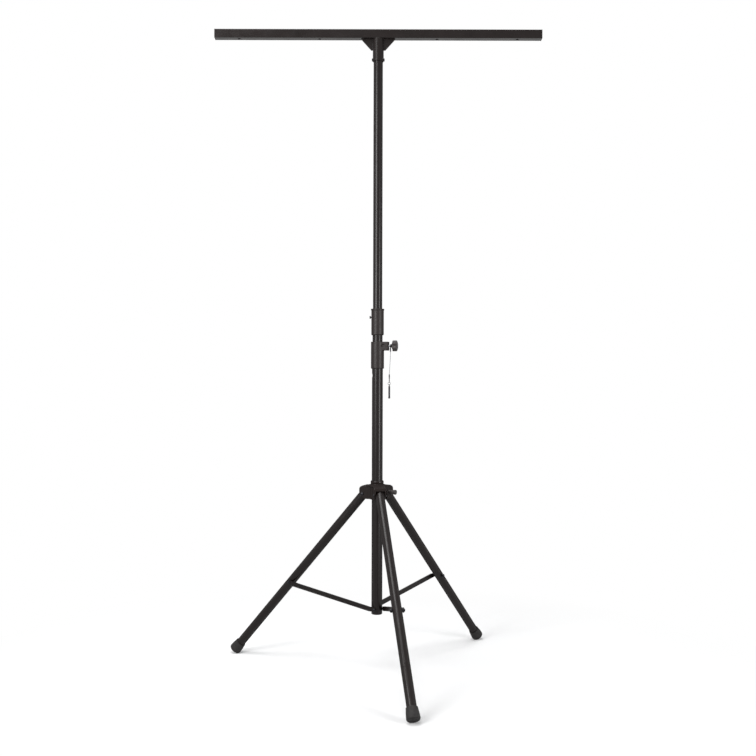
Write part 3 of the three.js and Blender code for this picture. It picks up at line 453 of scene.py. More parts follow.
def tidy(mesh):
    """Merges doubled points and turns every face outwards."""
    work = bmesh.new()
    work.from_mesh(mesh)
    bmesh.ops.remove_doubles(work, verts=work.verts, dist=1e-6)
    bmesh.ops.dissolve_degenerate(work, edges=work.edges, dist=1e-7)
    bmesh.ops.recalc_face_normals(work, faces=work.faces)
    work.to_mesh(mesh)
    work.free()
    return mesh


def grid_mesh(name, points, wraps=False):
    """A mesh over a grid of points (along, around, 3); wraps joins its last row to its first."""
    index = np.arange(points.shape[0] * points.shape[1]).reshape(points.shape[:2])
    if wraps:
        index = np.vstack([index, index[:1]])
    here, there = index[:-1], index[1:]
    faces = columns(here, np.roll(here, -1, axis=1), np.roll(there, -1, axis=1), there)
    mesh = bpy.data.meshes.new(name)
    mesh.from_pydata(points.reshape(-1, 3).tolist(), [], faces.reshape(-1, 4).tolist())
    return tidy(mesh)


def prism(name, outline, low, high):
    """A closed outline (out, up) carried sideways from one distance to another."""
    outline = np.array(outline, float)
    count = len(outline)
    ends = [np.insert(outline, 1, side, axis=1) for side in (low, high)]
    here = np.arange(count)
    ahead = np.roll(here, -1)
    walls = columns(here, ahead, ahead + count, here + count).tolist()
    mesh = bpy.data.meshes.new(name)
    mesh.from_pydata(np.vstack(ends).tolist(), [],
                     [here.tolist(), (here + count).tolist(), *walls])
    return tidy(mesh)


def stood(points, origin, along=UP, outwards=RIGHT):
    """Points (out, side, along) put at an origin and on two directions."""
    along = np.array(along, float) / np.linalg.norm(along)
    outwards = np.array(outwards, float) - along * np.dot(outwards, along)
    outwards = outwards / np.linalg.norm(outwards)
    return np.array(origin) + points @ np.array([outwards, np.cross(along, outwards), along])


def placed(shape, origin, along=UP, outwards=RIGHT):
    """A copy of a mesh, stood at an origin and on two directions."""
    mesh = shape.copy()
    points = np.empty(len(mesh.vertices) * 3)
    mesh.vertices.foreach_get("co", points)
    mesh.vertices.foreach_set("co", stood(points.reshape(-1, 3), origin, along, outwards).ravel())
    mesh.update()
    return mesh


def together(name, *meshes):
    """Several meshes as one."""
    work = bmesh.new()
    for mesh in meshes:
        work.from_mesh(mesh)
    whole = bpy.data.meshes.new(name)
    work.to_mesh(whole)
    work.free()
    return whole


# %% Mesh to piece
SMOOTH_UNDER = radians(38)


def finished(name, mesh, body, slot, *nodes, material=None):
    """Puts a mesh in the scene as a piece of a body, in place of CAD nodes."""
    mesh.name = name
    mesh.shade_smooth()
    mesh.set_sharp_from_angle(angle=SMOOTH_UNDER)
    mesh.materials.clear()
    mesh.materials.append(material or FINISHES[slot])
    piece = in_scene(name, mesh)
    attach(piece, body)
    if nodes:
        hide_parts(*nodes)
    print(name, "on", body, len(mesh.polygons), "faces")
    return piece


# %% Turned shapes
# Points round large turned pieces, small ones, and bores
AROUND = 96
AROUND_SMALL = 64
AROUND_BORE = 48


def softened(profile, radius, steps=4):
    """An outline whose corners are rounded: each corner gives way to a curve that starts
    and ends one radius from it, or a quarter of a shorter side. A point half a radius
    further on each side keeps the straight beyond it straight when it is shaded."""
    profile = np.array(profile, float)
    before, here, after = profile[:-2], profile[1:-1], profile[2:]
    into, out = before - here, after - here
    reach_in = np.linalg.norm(into, axis=1, keepdims=True)
    reach_out = np.linalg.norm(out, axis=1, keepdims=True)
    step_in = into / reach_in * np.minimum(radius, reach_in / 4)
    step_out = out / reach_out * np.minimum(radius, reach_out / 4)
    t = np.linspace(0, 1, steps + 1)[:, None, None]
    curve = (1 - t) ** 2 * (here + step_in) + 2 * t * (1 - t) * here + t ** 2 * (here + step_out)
    curve = np.concatenate([[here + 1.5 * step_in], curve, [here + 1.5 * step_out]])
    corners = curve.transpose(1, 0, 2).reshape(-1, 2)
    return np.vstack([profile[:1], corners, profile[-1:]])


def turned_points(profile, around=AROUND):
    """Radius and height carried once round the axis: (r cos a, r sin a, z)."""
    profile = np.array(profile, float)
    angle = full_turn(around)
    radius, height = profile[:, :1], profile[:, 1:]
    return columns(radius * np.cos(angle), radius * np.sin(angle), height)


def turned(name, profile, around=AROUND):
    """A profile turned round its axis; it starts and ends on the axis or at one point."""
    return grid_mesh(name, turned_points(profile, around))


def pipe(name, bore, radius, low, high, edge=0.5 * mm):
    """A tube wall with softened edges, from a seam on its bore."""
    centre = (low + high) / 2
    return turned(name, softened([(bore, centre), (bore, low), (radius, low), (radius, high),
                                  (bore, high), (bore, centre)], edge))


def rod(radius, low, high, around=AROUND):
    """A plain closed cylinder, for cutting and joining."""
    return turned("rod", [(0, low), (radius, low), (radius, high), (0, high)], around)


def bore(radius, low, high, around=AROUND_BORE):
    """A cylinder that cuts a hole with clearance round a piece of this radius."""
    return rod(radius + CLEARANCE, low, high, around)


def lying(shape, height=0.0):
    """A mesh whose axis is laid outwards instead of up, at a height."""
    return placed(shape, (0, 0, height), RIGHT, DOWN)


def across(shape, out=0.0, height=0.0):
    """A mesh whose axis is laid sideways, at a distance outwards and a height."""
    return placed(shape, (out, 0, height), BACK, RIGHT)


# %% Cutting and joining


def evaluated(work, *helpers):
    """An object's mesh with its modifiers applied; the object and its helpers go."""
    bpy.context.view_layer.update()
    seen = work.evaluated_get(bpy.context.evaluated_depsgraph_get())
    result = bpy.data.meshes.new_from_object(seen)
    for used in (*helpers, work):
        bpy.data.objects.remove(used)
    return result


def combined(mesh, *tools, operation="DIFFERENCE"):
    """A closed mesh with others cut out of it, joined to it or crossed with it."""
    work = in_scene("work", mesh)
    helpers = [in_scene("tool", tool) for tool in tools]
    for helper in helpers:
        modifier = work.modifiers.new("combine", "BOOLEAN")
        modifier.operation, modifier.solver, modifier.object = operation, "EXACT", helper
    return tidy(evaluated(work, *helpers))


# %% [markdown]
# ## The lanyard wire
#
# A short stranded steel wire hangs from the clamp screw and holds the lock pin. The
# photograph shows it from end to end. Its strands are laid round each other, so the wire
# is a tube whose radius dips between the strands, and the dips climb round it in a helix.
# It comes first, because a cord's place has to agree with the CAD.

# %% Tubes along a path
WIRE_R = 0.9 * mm
STRANDS = 6
STRAND_DIP_SHARE = 0.14
LAY_LENGTH = 9 * mm
WIRE_AROUND = 36


def lengths_along(path):
    """The distance from the start of a path to each of its points."""
    return np.concatenate([[0], np.cumsum(np.linalg.norm(np.diff(path, axis=0), axis=1))])


def resampled(path, count):
    """Points spread evenly by length along a path."""
    knots = lengths_along(path)
    at = np.linspace(0, knots[-1], count)
    return np.stack([np.interp(at, knots, path[:, i]) for i in range(3)], axis=-1)


def capped(points):
    """A tube's grid with its ends drawn in to their centres, which closes it."""
    ends = [np.broadcast_to(end.mean(axis=1, keepdims=True), end.shape)
            for end in (points[:1], points[-1:])]
    return np.concatenate([ends[0], points, ends[1]])


def tube(name, path, radius, around):
    """A circle of one radius, or of one for each point of the grid, carried square to a
    path. Its side direction is the path's direction crossed with a fixed one."""
    ahead = np.gradient(path, axis=0)
    ahead /= np.linalg.norm(ahead, axis=1, keepdims=True)
    fixed = np.eye(3)[np.argmin(np.abs(ahead).max(axis=0))]
    side = np.cross(ahead, fixed)
    side /= np.linalg.norm(side, axis=1, keepdims=True)
    angle = full_turn(around)[None, :, None]
    radius = np.broadcast_to(radius, (len(path), around))[:, :, None]
    sweep = np.cos(angle) * side[:, None] + np.sin(angle) * np.cross(ahead, side)[:, None]
    return grid_mesh(name, capped(path[:, None] + radius * sweep))


def stranded(name, path):
    """A wire: the radius dips by a share where |sin(strands / 2 x (angle - turn))| is small,
    and the turn grows by a full circle in each lay length."""
    turn = 2 * np.pi * lengths_along(path)[:, None] / LAY_LENGTH
    crown = np.abs(np.sin(STRANDS / 2 * (full_turn(WIRE_AROUND) - turn)))
    return tube(name, path, WIRE_R * (1 - STRAND_DIP_SHARE * (1 - crown) ** 2), WIRE_AROUND)


# %% The hanging wire
LOOP_R = 6.5 * mm
WIRE_STATIONS = 200

# The route, outwards, sideways and up from the centre of the loop on the clamp screw
WIRE_ROUTE = np.array([
    (0, 0, -20.5), (-0.1, 0, -25), (-0.2, 0.1, -30), (-0.4, 0.3, -35), (-0.6, 0.5, -40),
    (-0.8, 0.8, -45), (-1.1, 1, -50), (-1.4, 1.2, -55), (-1.7, 1.3, -60), (-2, 1.3, -65),
    (-2.3, 1.2, -70), (-2.6, 1, -75), (-2.9, 0.8, -80), (-3.2, 0.5, -85), (-3.5, 0.2, -90),
    (-3.8, 0.1, -95), (-4, 0, -99.5), (-4.2, 0, -103.3)]) * mm

clamp_out = level("clamp_pad_travel")
clamp_z = joints["clamp_knob_turn"]["pos_m"][2]
loop_top = heights("lanyard_loop")[1]
loop_centre = np.array([*middle("lanyard_loop")[:2], loop_top - LOOP_R - WIRE_R])
wire_path = stood(resampled(WIRE_ROUTE, WIRE_STATIONS), loop_centre, UP, clamp_out)
wire = finished("stranded_wire", stranded("stranded_wire", wire_path), "lanyard", "steel",
                "lanyard_wire", material=wire_rope)

# %% Its end loops and ferrules
# Each loop is one turn of the same wire, a circle that narrows to its crimped ferrule.
LOOP_DROP = 3 * mm
LOOP_NARROWING = 0.25
END_LOOP_R = 4 * mm
END_LOOP_REACH = 8.4 * mm
FERRULE_R = 2.3 * mm
FERRULE_END_R = 0.85 * FERRULE_R
FERRULE_LENGTH = 15.5 * mm
FERRULE_EDGE = 0.4 * mm
CRIMP_SHARE = 0.16
SPREAD_SHARE = 0.4


def loop_path(radius, reach_up, reach_down, count=120):
    """A closed loop in the (side, up) plane: a circle above, and sides that run down to
    meet at one point. The angle starts and ends at that point."""
    angle = np.linspace(-np.pi / 2, 3 * np.pi / 2, count)
    down = np.clip(-np.sin(angle), 0, 1)
    side = radius * np.cos(angle) * (1 - LOOP_NARROWING * down ** 2)
    up = np.where(np.sin(angle) > 0, reach_up, reach_down) * np.sin(angle)
    return columns(0, side, up)


def ferrule(low, high, stations=30):
    """A tube with two crimps, which press it flatter one way and spread it the other, by a
    share that goes as 0.5 - 0.5 cos(4 pi t) while t goes from zero to one along it."""
    up = np.linspace(low + FERRULE_EDGE, high - FERRULE_EDGE, stations)
    up = np.concatenate([[low, low], up, [high, high]])
    radius = np.concatenate([[0, FERRULE_END_R], np.full(stations, FERRULE_R), [FERRULE_END_R, 0]])
    press = CRIMP_SHARE * (0.5 - 0.5 * np.cos(4 * np.pi * (up - low) / (high - low)))
    points = turned_points(columns(radius, up), AROUND_BORE)
    points[:, :, 0] *= 1 - press[:, None]
    points[:, :, 1] *= 1 + press[:, None] * SPREAD_SHARE
    return grid_mesh("ferrule", points)


upper_loop = together(
    "upper_loop", stranded("loop", loop_path(LOOP_R, LOOP_R, LOOP_R + LOOP_DROP)),
    ferrule(WIRE_ROUTE[0, 2] + CLEARANCE, -LOOP_R))
finished("wire_loop_on_screw", placed(upper_loop, loop_centre, UP, clamp_out), "lanyard",
         "black_steel", "lanyard_loop")

end_top = WIRE_ROUTE[-1, 2] - CLEARANCE
end_foot = end_top - FERRULE_LENGTH
end_loop_z = end_foot - END_LOOP_REACH + WIRE_R
wire_end = stood(np.array([*WIRE_ROUTE[-1, :2], 0.0]), loop_centre, UP, clamp_out)
end_turn = stranded("loop", loop_path(END_LOOP_R, END_LOOP_REACH, END_LOOP_REACH))
end_loop = together("end_loop", placed(end_turn, (0, 0, end_loop_z)), ferrule(end_foot, end_top))
finished("wire_loop_on_ring", placed(end_loop, wire_end, UP, clamp_out), "lanyard",
         "black_steel", "lanyard_end")

# %% Split ring
# The ring is two turns of spring wire side by side.
RING_R = 5 * mm
RING_WIRE_R = 0.8 * mm
RING_SEAT = 1.89 * mm
COIL_R = 0.46 * mm
COIL_AROUND = 20
COIL_STATIONS = 240

ring_z = end_loop_z - END_LOOP_REACH + RING_SEAT + RING_WIRE_R + CLEARANCE - RING_R
# Two turns in one plane each, with the step from one to the other halfway
turn = np.linspace(0, 4 * np.pi, COIL_STATIONS)
step = COIL_R * np.clip((turn - 2 * np.pi) / (0.3 * np.pi), -1, 1)
coil = columns(RING_R * np.cos(turn), step, RING_R * np.sin(turn))
ring_mesh = tube("split_ring", coil, COIL_R, COIL_AROUND)
finished("two_turn_ring", placed(ring_mesh, wire_end + (0, 0, ring_z), UP, clamp_out), "lock_pin",
         "black_steel", "split_ring")

# %% Lock pin
# The pin's tongue is pressed flat and pierced, and its tip is a ball-like swelling that
# holds it in the hole.
PIN_R = 3.25 * mm
PIN_LENGTH = 53 * mm
PIN_TONGUE = 3 * mm
PIN_TONGUE_LENGTH = 8 * mm
PIN_EYE_R = 1.8 * mm
PIN_TIP_R = 3.7 * mm
PIN_TIP, PIN_BALL_TOP, PIN_BALL_FOOT = 6 * mm, 4.4 * mm, 1.6 * mm
PIN_END_R = 2.1 * mm
PAST_PIN = 9 * mm

eye_z = ring_z - RING_R + RING_WIRE_R + CLEARANCE - PIN_EYE_R
pin_top = eye_z + PIN_EYE_R + PIN_TONGUE / 2
tongue_foot = pin_top - PIN_TONGUE_LENGTH
pin_foot = pin_top - PIN_LENGTH
shank = turned("pin", softened([
    (0, pin_top), (PIN_R, pin_top), (PIN_R, pin_foot + PIN_TIP),
    (PIN_TIP_R, pin_foot + PIN_BALL_TOP), (PIN_TIP_R, pin_foot + PIN_BALL_FOOT),
    (PIN_END_R, pin_foot), (0, pin_foot)], 0.8 * mm), AROUND_SMALL)
flats = [prism("flat", [(near, tongue_foot), (far, tongue_foot), (far, pin_top + mm),
                        (near, pin_top + mm)], -PAST_PIN, PAST_PIN)
         for near, far in ((-PIN_TONGUE / 2, -PAST_PIN), (PIN_TONGUE / 2, PAST_PIN))]
eye = lying(rod(PIN_EYE_R, -PAST_PIN, PAST_PIN, AROUND_BORE), eye_z)
pin_mesh = combined(shank, *flats, eye)
finished("lock_pin_turned", placed(pin_mesh, wire_end, UP, clamp_out), "lock_pin",
         "black_steel", "lock_pin")

# %% [markdown]
# ## The bar and its socket
#
# The bar is a square steel tube, drawn through a die that leaves its edges round, with a
# moulded plug in each end. A section is carried along it. Under its middle a socket tube
# is welded on, with a gusset plate at each side. A weld is a row of overlapping drops, so
# each bead is a tube whose radius swells and shrinks along its path.

# %% Bar tube
BAR_LENGTH = 1200 * mm
BAR_SIDE = 32 * mm
BAR_WALL = 2 * mm
BAR_CORNER = 2.5 * mm
BAR_HOLE_R = 5.5 * mm
BAR_HOLES = (-512 * mm, -216 * mm, 216 * mm, 512 * mm)

bar_low, bar_high = heights("t_bar_tube")
bar_centre = on_mast((bar_low + bar_high) / 2)


def arc(centre, radius, start, end, count):
    """Points from one angle in degrees to another: the centre plus the radius times
    (cos, sin). With two radii the circle is an ellipse."""
    turn = np.radians(np.linspace(start, end, count))
    return np.array(centre) + np.array(radius) * columns(np.cos(turn), np.sin(turn))


def rounded_square(side, corner, steps=8):
    """A square's outline with a quarter circle at each corner, and a point a tenth of a
    corner beyond each quarter, which keeps the flats flat when they are shaded."""
    quarter = arc([side / 2 - corner] * 2, corner, 0, 90, steps + 1)
    nudge = corner * 0.1
    quarter = np.vstack([quarter[0] - (0, nudge), quarter, quarter[-1] - (nudge, 0)])
    quarters = [quarter]
    for _ in range(3):
        quarters.append(quarters[-1] @ np.array([[0, 1], [-1, 0]]))
    return np.vstack(quarters)


def square_rows(rows):
    """Rows of (distance, side, corner) as square sections across the X axis."""
    return np.stack([np.insert(rounded_square(side, corner), 0, distance, axis=1)
                     for distance, side, corner in rows])


inner_side, inner_corner = BAR_SIDE - 2 * BAR_WALL, BAR_CORNER - BAR_WALL
end = BAR_LENGTH / 2
bar_shape = combined(
    grid_mesh("bar", square_rows([
        (-end, BAR_SIDE, BAR_CORNER), (end, BAR_SIDE, BAR_CORNER),
        (end, inner_side, inner_corner), (-end, inner_side, inner_corner)]), wraps=True),
    *[placed(rod(BAR_HOLE_R, -BAR_SIDE, BAR_SIDE, AROUND_BORE), (x, 0, 0)) for x in BAR_HOLES])
finished("square_bar", placed(bar_shape, bar_centre), "t_bar", "powder_coat", "t_bar_tube")

# %% End caps
CAP_FLANGE = 2 * mm
CAP_LIP = 0.6 * mm
CAP_PLUG = 18 * mm
cap_side = BAR_SIDE + 2 * CAP_LIP
cap_corner = BAR_CORNER + CAP_LIP
plug_side = inner_side - 2 * CLEARANCE
point = (0.01 * mm, 0.001 * mm)

# The face from its rim to the middle of its dish: how far out, as a share of the flange,
# how wide, and the corner's radius
CAP_FACE = [
    (0.5, cap_side, cap_corner), (0.8, cap_side - 0.5 * mm, cap_corner),
    (0.97, cap_side - 1.5 * mm, cap_corner), (1, cap_side - 2.6 * mm, cap_corner),
    (1, cap_side - 7 * mm, 2 * mm), (0.75, cap_side - 8 * mm, 2 * mm), (0.75, *point)]

cap_shape = grid_mesh("cap", square_rows([
    (end - CAP_PLUG, *point), (end - CAP_PLUG, plug_side, inner_corner),
    (end, plug_side, inner_corner), (end, cap_side, cap_corner),
    *[(end + share * CAP_FLANGE, side, corner) for share, side, corner in CAP_FACE]]))

SIDES = {"left": LEFT, "right": RIGHT}
for side, along_bar in SIDES.items():
    finished(f"bar_plug_{side}", placed(cap_shape, bar_centre, UP, along_bar), "t_bar",
             "black_plastic", f"end_cap_{side}")

# %% Socket
TOP_TUBE_R = 17 * mm
SOCKET_LENGTH = 83 * mm
SOCKET_WALL = 2.7 * mm
SCREW_R = 3 * mm
SCREW_RISE = 6.5 * mm

socket_bore = TOP_TUBE_R + CLEARANCE
socket_r = socket_bore + SOCKET_WALL
socket_foot = bar_low - SOCKET_LENGTH
socket_shape = combined(
    pipe("socket", socket_bore, socket_r, socket_foot, bar_low, 0.7 * mm),
    lying(bore(SCREW_R, -2 * socket_r, 2 * socket_r), socket_foot + SCREW_RISE))


def on_axis(shape, outwards=RIGHT, height=0.0):
    """A mesh made about the mast's axis, stood there at a height and turned to a side."""
    return placed(shape, on_mast(height), UP, outwards)


finished("bar_socket_tube", on_axis(socket_shape), "t_bar", "powder_coat", "bar_socket",
         material=leg_coat)

# %% Button screws
SCREW_HEAD_R = 6.2 * mm
SCREW_HEAD = 3.4 * mm
HEX_KEY_R = 2.3 * mm
HEX_KEY_DEPTH = 2 * mm


def laid_out(shape, outwards, height):
    """A mesh whose own axis is laid outwards from the mast's axis, at a height."""
    return placed(shape, on_mast(height), outwards, DOWN)


def hex_socket(shape, top):
    """A turned head with a hexagonal recess for a key, cut down from its top."""
    return combined(shape, rod(HEX_KEY_R, top - HEX_KEY_DEPTH, top + HEX_KEY_DEPTH, 6))


head_foot = socket_r + CLEARANCE
head_top = head_foot + SCREW_HEAD
screw_shape = hex_socket(turned("screw", softened([
    (0, socket_bore), (SCREW_R, socket_bore), (SCREW_R, head_foot), (SCREW_HEAD_R, head_foot),
    (SCREW_HEAD_R, head_foot + 0.34 * SCREW_HEAD),
    (SCREW_HEAD_R * 0.85, head_foot + 0.75 * SCREW_HEAD),
    (SCREW_HEAD_R / 2, head_top), (0, head_top)], 0.8 * mm), AROUND_BORE), head_top)
for side, along_bar in SIDES.items():
    finished(f"button_screw_{side}", laid_out(screw_shape, along_bar, socket_foot + SCREW_RISE),
             "t_bar", "black_steel", f"socket_screw_{side}")

# %% Gusset plates


def softened_copy(name, body, node, edge):
    """A merged copy of a CAD node, its flat faces whole, with a bevel on its edges."""
    mesh = frame["nodes"][node].data.copy()
    work = bmesh.new()
    work.from_mesh(mesh)
    bmesh.ops.remove_doubles(work, verts=work.verts, dist=2e-6)
    bmesh.ops.dissolve_limit(work, angle_limit=radians(0.5), verts=work.verts, edges=work.edges)
    work.to_mesh(mesh)
    work.free()
    piece = finished(name, mesh, body, node_slots[node], node)
    bevel = piece.modifiers.new("softened_edges", "BEVEL")
    bevel.width, bevel.segments = edge, 2
    bevel.limit_method, bevel.angle_limit = "ANGLE", radians(40)
    bevel.harden_normals = True
    return piece


for side in SIDES:
    softened_copy(f"gusset_plate_{side}", "t_bar", f"gusset_{side}", 0.7 * mm)

# %% Weld beads
GUSSET_WIDTH = 44 * mm
GUSSET_HEIGHT = 42 * mm
GUSSET_THICK = 5 * mm
BEAD_R = 1.5 * mm
BEAD_STEP = 2.6 * mm
BEAD_STATION = 0.3 * mm
BEAD_SWELL = 0.2
BEAD_AROUND = 14
BEAD_OFF = 0.4 * mm


def bead(path):
    """A weld: a tube along a path whose radius swells with each drop, by |sin| of the
    distance along it over one step."""
    path = np.array(path, float)
    path = resampled(path, max(24, int(lengths_along(path)[-1] / BEAD_STATION)))
    drop = np.abs(np.sin(np.pi * lengths_along(path) / BEAD_STEP))
    radius = BEAD_R * (1 - BEAD_SWELL + BEAD_SWELL * drop)
    return tube("bead", path, radius[:, None], BEAD_AROUND)


# The beads of one quarter: round the socket, along the gusset's top, and down its side
seam = GUSSET_THICK / 2 + 0.3 * mm
under_bar = bar_low - BEAD_OFF
beside_socket = socket_r + 0.3 * mm
quarter = [
    np.insert(arc((0, 0), socket_r + BEAD_OFF, 10, 50, 24), 2, under_bar, axis=1),
    [(socket_r + 1 * mm, seam, under_bar), (socket_r + GUSSET_WIDTH - 2 * mm, seam, under_bar)],
    [(beside_socket, seam, bar_low - 1 * mm),
     (beside_socket, seam, bar_low - GUSSET_HEIGHT + 1 * mm)]]
beads = [bead(np.array(path) * (side, face, 1))
         for side in (-1, 1) for face in (-1, 1) for path in quarter]
finished("weld_beads", on_axis(together("welds", *beads)), "t_bar", "powder_coat")
print("bar underside at", round(bar_low, 4))

# %% [markdown]
# ## The mast
#
# Three steel tubes slide in each other. Their coat is rubbed by the sliding, which leaves
# long faint streaks. The outer one has a round window near its top for the lock pin, with
# a smaller hole behind it in the next tube.

# %% Tubes
MIDDLE_TUBE_R = 18.5 * mm
BOTTOM_TUBE_R = 20 * mm
TOP_WALL = 1.5 * mm
THIN_WALL = 1.2 * mm
PIN_WINDOW_R = 8 * mm
PIN_WINDOW_DROP = 86 * mm
PIN_HOLE_R = 4 * mm
BRACE_ROOT = 2 * mm
BOLT_R = 4 * mm
MAST_BOLT_DEPTH = 11 * mm
MAST_BOLT_AROUND = 32

window_z = bottom_top - PIN_WINDOW_DROP
window, pin_hole = [
    placed(rod(radius, 0, 2 * BOTTOM_TUBE_R, around), (0, 0, window_z), LEFT, UP)
    for radius, around in ((PIN_WINDOW_R, AROUND_SMALL), (PIN_HOLE_R, AROUND_BORE))]
bolt_cutter = bore(BOLT_R, MAST_BOLT_DEPTH - CLEARANCE, 2 * BOTTOM_TUBE_R, MAST_BOLT_AROUND)
bolt_cutters = [placed(bolt_cutter, out * BRACE_ROOT + UP * mast_bolt_z, sideways(out), UP)
                for out in leg_out.values()]

for section, body, radius, wall, cutters in (
        ("bottom", "mast_base", BOTTOM_TUBE_R, THIN_WALL, [window, *bolt_cutters]),
        ("middle", "middle_section", MIDDLE_TUBE_R, THIN_WALL, [pin_hole]),
        ("top", "top_section", TOP_TUBE_R, TOP_WALL, [])):
    section_shape = pipe(section, radius - wall, radius, *heights(f"{section}_tube"))
    if cutters:
        section_shape = combined(section_shape, *cutters)
    finished(f"mast_tube_{section}", on_axis(section_shape), body, "powder_coat",
             f"{section}_tube", material=sliding_coat)

# %% Base plug
BASE_PLUG_FLANGE = 3 * mm
BASE_PLUG_LENGTH = 31 * mm
mast_foot = bottom_foot - BASE_PLUG_FLANGE
base_plug_r = BOTTOM_TUBE_R - THIN_WALL - CLEARANCE
plug_shape = combined(turned("plug", softened([
    (0, mast_foot), (BOTTOM_TUBE_R - 2 * mm, mast_foot), (BOTTOM_TUBE_R, bottom_foot - 1.3 * mm),
    (BOTTOM_TUBE_R, bottom_foot - CLEARANCE), (base_plug_r, bottom_foot - CLEARANCE),
    (base_plug_r, bottom_foot + BASE_PLUG_LENGTH), (0, bottom_foot + BASE_PLUG_LENGTH)],
    0.9 * mm)), *bolt_cutters)
finished("mast_foot_plug", on_axis(plug_shape), "mast_base", "cast_black", "base_plug")
print("mast foot at", round(mast_foot, 4))

# %% [markdown]
# ## Threads, hexagons and grips
#
# A thread is a tube whose radius falls and rises once in each pitch, and whose groove
# climbs one pitch for each turn. A hexagon head is a turned shape cut down to six flats:
# where the flats meet the round chamfer, the curved scallops of a real nut appear.

# %% Threads and hexagons
M8_PITCH = 1.25 * mm
M6_PITCH = 1 * mm


def thread(name, radius, low, high, pitch=M8_PITCH, around=40):
    """A screw thread: r = radius - depth x (0.5 + 0.5 cos of the phase), where the phase
    grows by a turn in each pitch of height and falls by one round the axis."""
    up = np.arange(low, high, pitch / 8)
    angle = full_turn(around)
    phase = 2 * np.pi * up[:, None] / pitch - angle
    ends = np.clip(np.minimum(up - low, high - up) / pitch, 0, 1)[:, None]
    r = radius - 0.3 * pitch * (1 + np.cos(phase)) - 0.35 * pitch * (1 - ends)
    return grid_mesh(name, capped(columns(r * np.cos(angle), r * np.sin(angle), up[:, None])))


def hexagon(name, profile, corner_r, around=AROUND):
    """A profile turned round, and never wider than six flats: the lesser of its radius
    and the flat's distance over the cosine of the angle from the flat's middle."""
    points = turned_points(profile, around)
    from_flat = (full_turn(around) + np.pi / 6) % (np.pi / 3) - np.pi / 6
    flat = corner_r * cos(np.pi / 6) / np.cos(from_flat)
    radius = np.linalg.norm(points[:, :, :2], axis=2)
    points[:, :, :2] *= np.minimum(1, flat / np.maximum(radius, 1e-9))[:, :, None]
    return grid_mesh(name, points)


def nut(name, corner_r, low, high):
    """A hexagon with both ends chamfered."""
    cut = 0.13 * corner_r
    return hexagon(name, [
        (0, low), (corner_r - cut, low), (corner_r, low + 0.58 * cut),
        (corner_r, high - 0.58 * cut), (corner_r - cut, high), (0, high)], corner_r)


# %% [markdown]
# ## The collars
#
# The upper collar is turned from a casting: a sleeve over the middle tube's end, with a
# lip at the top and a black hexagon screw at its left. The lower one carries a square boss
# for the star knob, so it is joined from a sleeve and a block, bored, and given a cast
# skin.

# %% Upper collar
UPPER_COLLAR_R = 23 * mm
UPPER_FLANGE_R = 24.5 * mm
UPPER_FLANGE = 5 * mm
UPPER_BUSH_WALL = 2.5 * mm
UPPER_LOCK_RISE = 12.6 * mm
UPPER_LOCK_TRAVEL = 1 * mm
UPPER_PAD_R = 4 * mm
UPPER_HEAD_R = 5.8 * mm
UPPER_HEAD = 4.2 * mm
UPPER_STANDOFF = 2.2 * mm
COLLAR_LIP = 2 * mm

middle_top = heights("middle_tube")[1]
upper_foot, upper_top = heights("upper_collar")
flange_foot = upper_top - UPPER_FLANGE
bush_bore = TOP_TUBE_R + CLEARANCE
bush_r = bush_bore + UPPER_BUSH_WALL
lock_z = middle_top + UPPER_LOCK_RISE
middle_bore = MIDDLE_TUBE_R + CLEARANCE
upper_profile = softened([
    (middle_bore, middle_top - 9 * mm), (middle_bore, upper_foot),
    (UPPER_COLLAR_R - 1.6 * mm, upper_foot), (UPPER_COLLAR_R, upper_foot + 2.2 * mm),
    (UPPER_COLLAR_R, flange_foot - 0.8 * mm), (UPPER_FLANGE_R, flange_foot + 0.4 * mm),
    (UPPER_FLANGE_R, upper_top), (bush_bore + CLEARANCE, upper_top),
    (bush_bore + CLEARANCE, upper_top - COLLAR_LIP), (bush_r + CLEARANCE, upper_top - COLLAR_LIP),
    (bush_r + CLEARANCE, middle_top + CLEARANCE), (middle_bore, middle_top + CLEARANCE),
    (middle_bore, middle_top - 9 * mm)], 0.9 * mm)
upper_shape = combined(
    turned("upper", upper_profile), lying(bore(SCREW_R, 0, 2 * UPPER_COLLAR_R), lock_z),
    lying(bore(UPPER_PAD_R, 0, bush_r + UPPER_LOCK_TRAVEL + CLEARANCE), lock_z))
finished("upper_collar_cast", on_axis(upper_shape, LEFT), "middle_section", "cast_black",
         "upper_collar")

# %% Its bush and its screw
bush_shape = combined(
    pipe("bush", bush_bore, bush_r, middle_top + 2 * CLEARANCE,
         upper_top - COLLAR_LIP - CLEARANCE),
    lying(bore(UPPER_PAD_R, 0, 2 * bush_r), lock_z))
finished("upper_bush", on_axis(bush_shape, LEFT), "middle_section", "nylon",
         "upper_collar_bush")

head_low = UPPER_COLLAR_R + UPPER_STANDOFF
lock_shape = together(
    "lock", nut("head", UPPER_HEAD_R, head_low, head_low + UPPER_HEAD),
    thread("shank", SCREW_R, bush_r + CLEARANCE, head_low + 0.5 * mm, M6_PITCH))
finished("hex_lock_screw", laid_out(lock_shape, LEFT, lock_z), "upper_lock_screw",
         "black_steel", "upper_lock_screw")

# %% Lower collar
LOWER_COLLAR_R = 24 * mm
LOWER_BUSH_WALL = 2.2 * mm
BOSS_REACH = 42 * mm
BOSS_WIDTH = 32 * mm
BOSS_HEIGHT = 32 * mm
BOSS_EDGE = 3 * mm
LOCK_SCREW_R = 4 * mm
LOCK_PAD_R = 6 * mm
LOCK_PAD_LENGTH = 8 * mm
DIMPLE_R = 5.4 * mm
DIMPLE_DEPTH = 2.2 * mm
DIMPLE_OUT = 22.5 * mm
COLLAR_GRAIN = 0.9 * mm


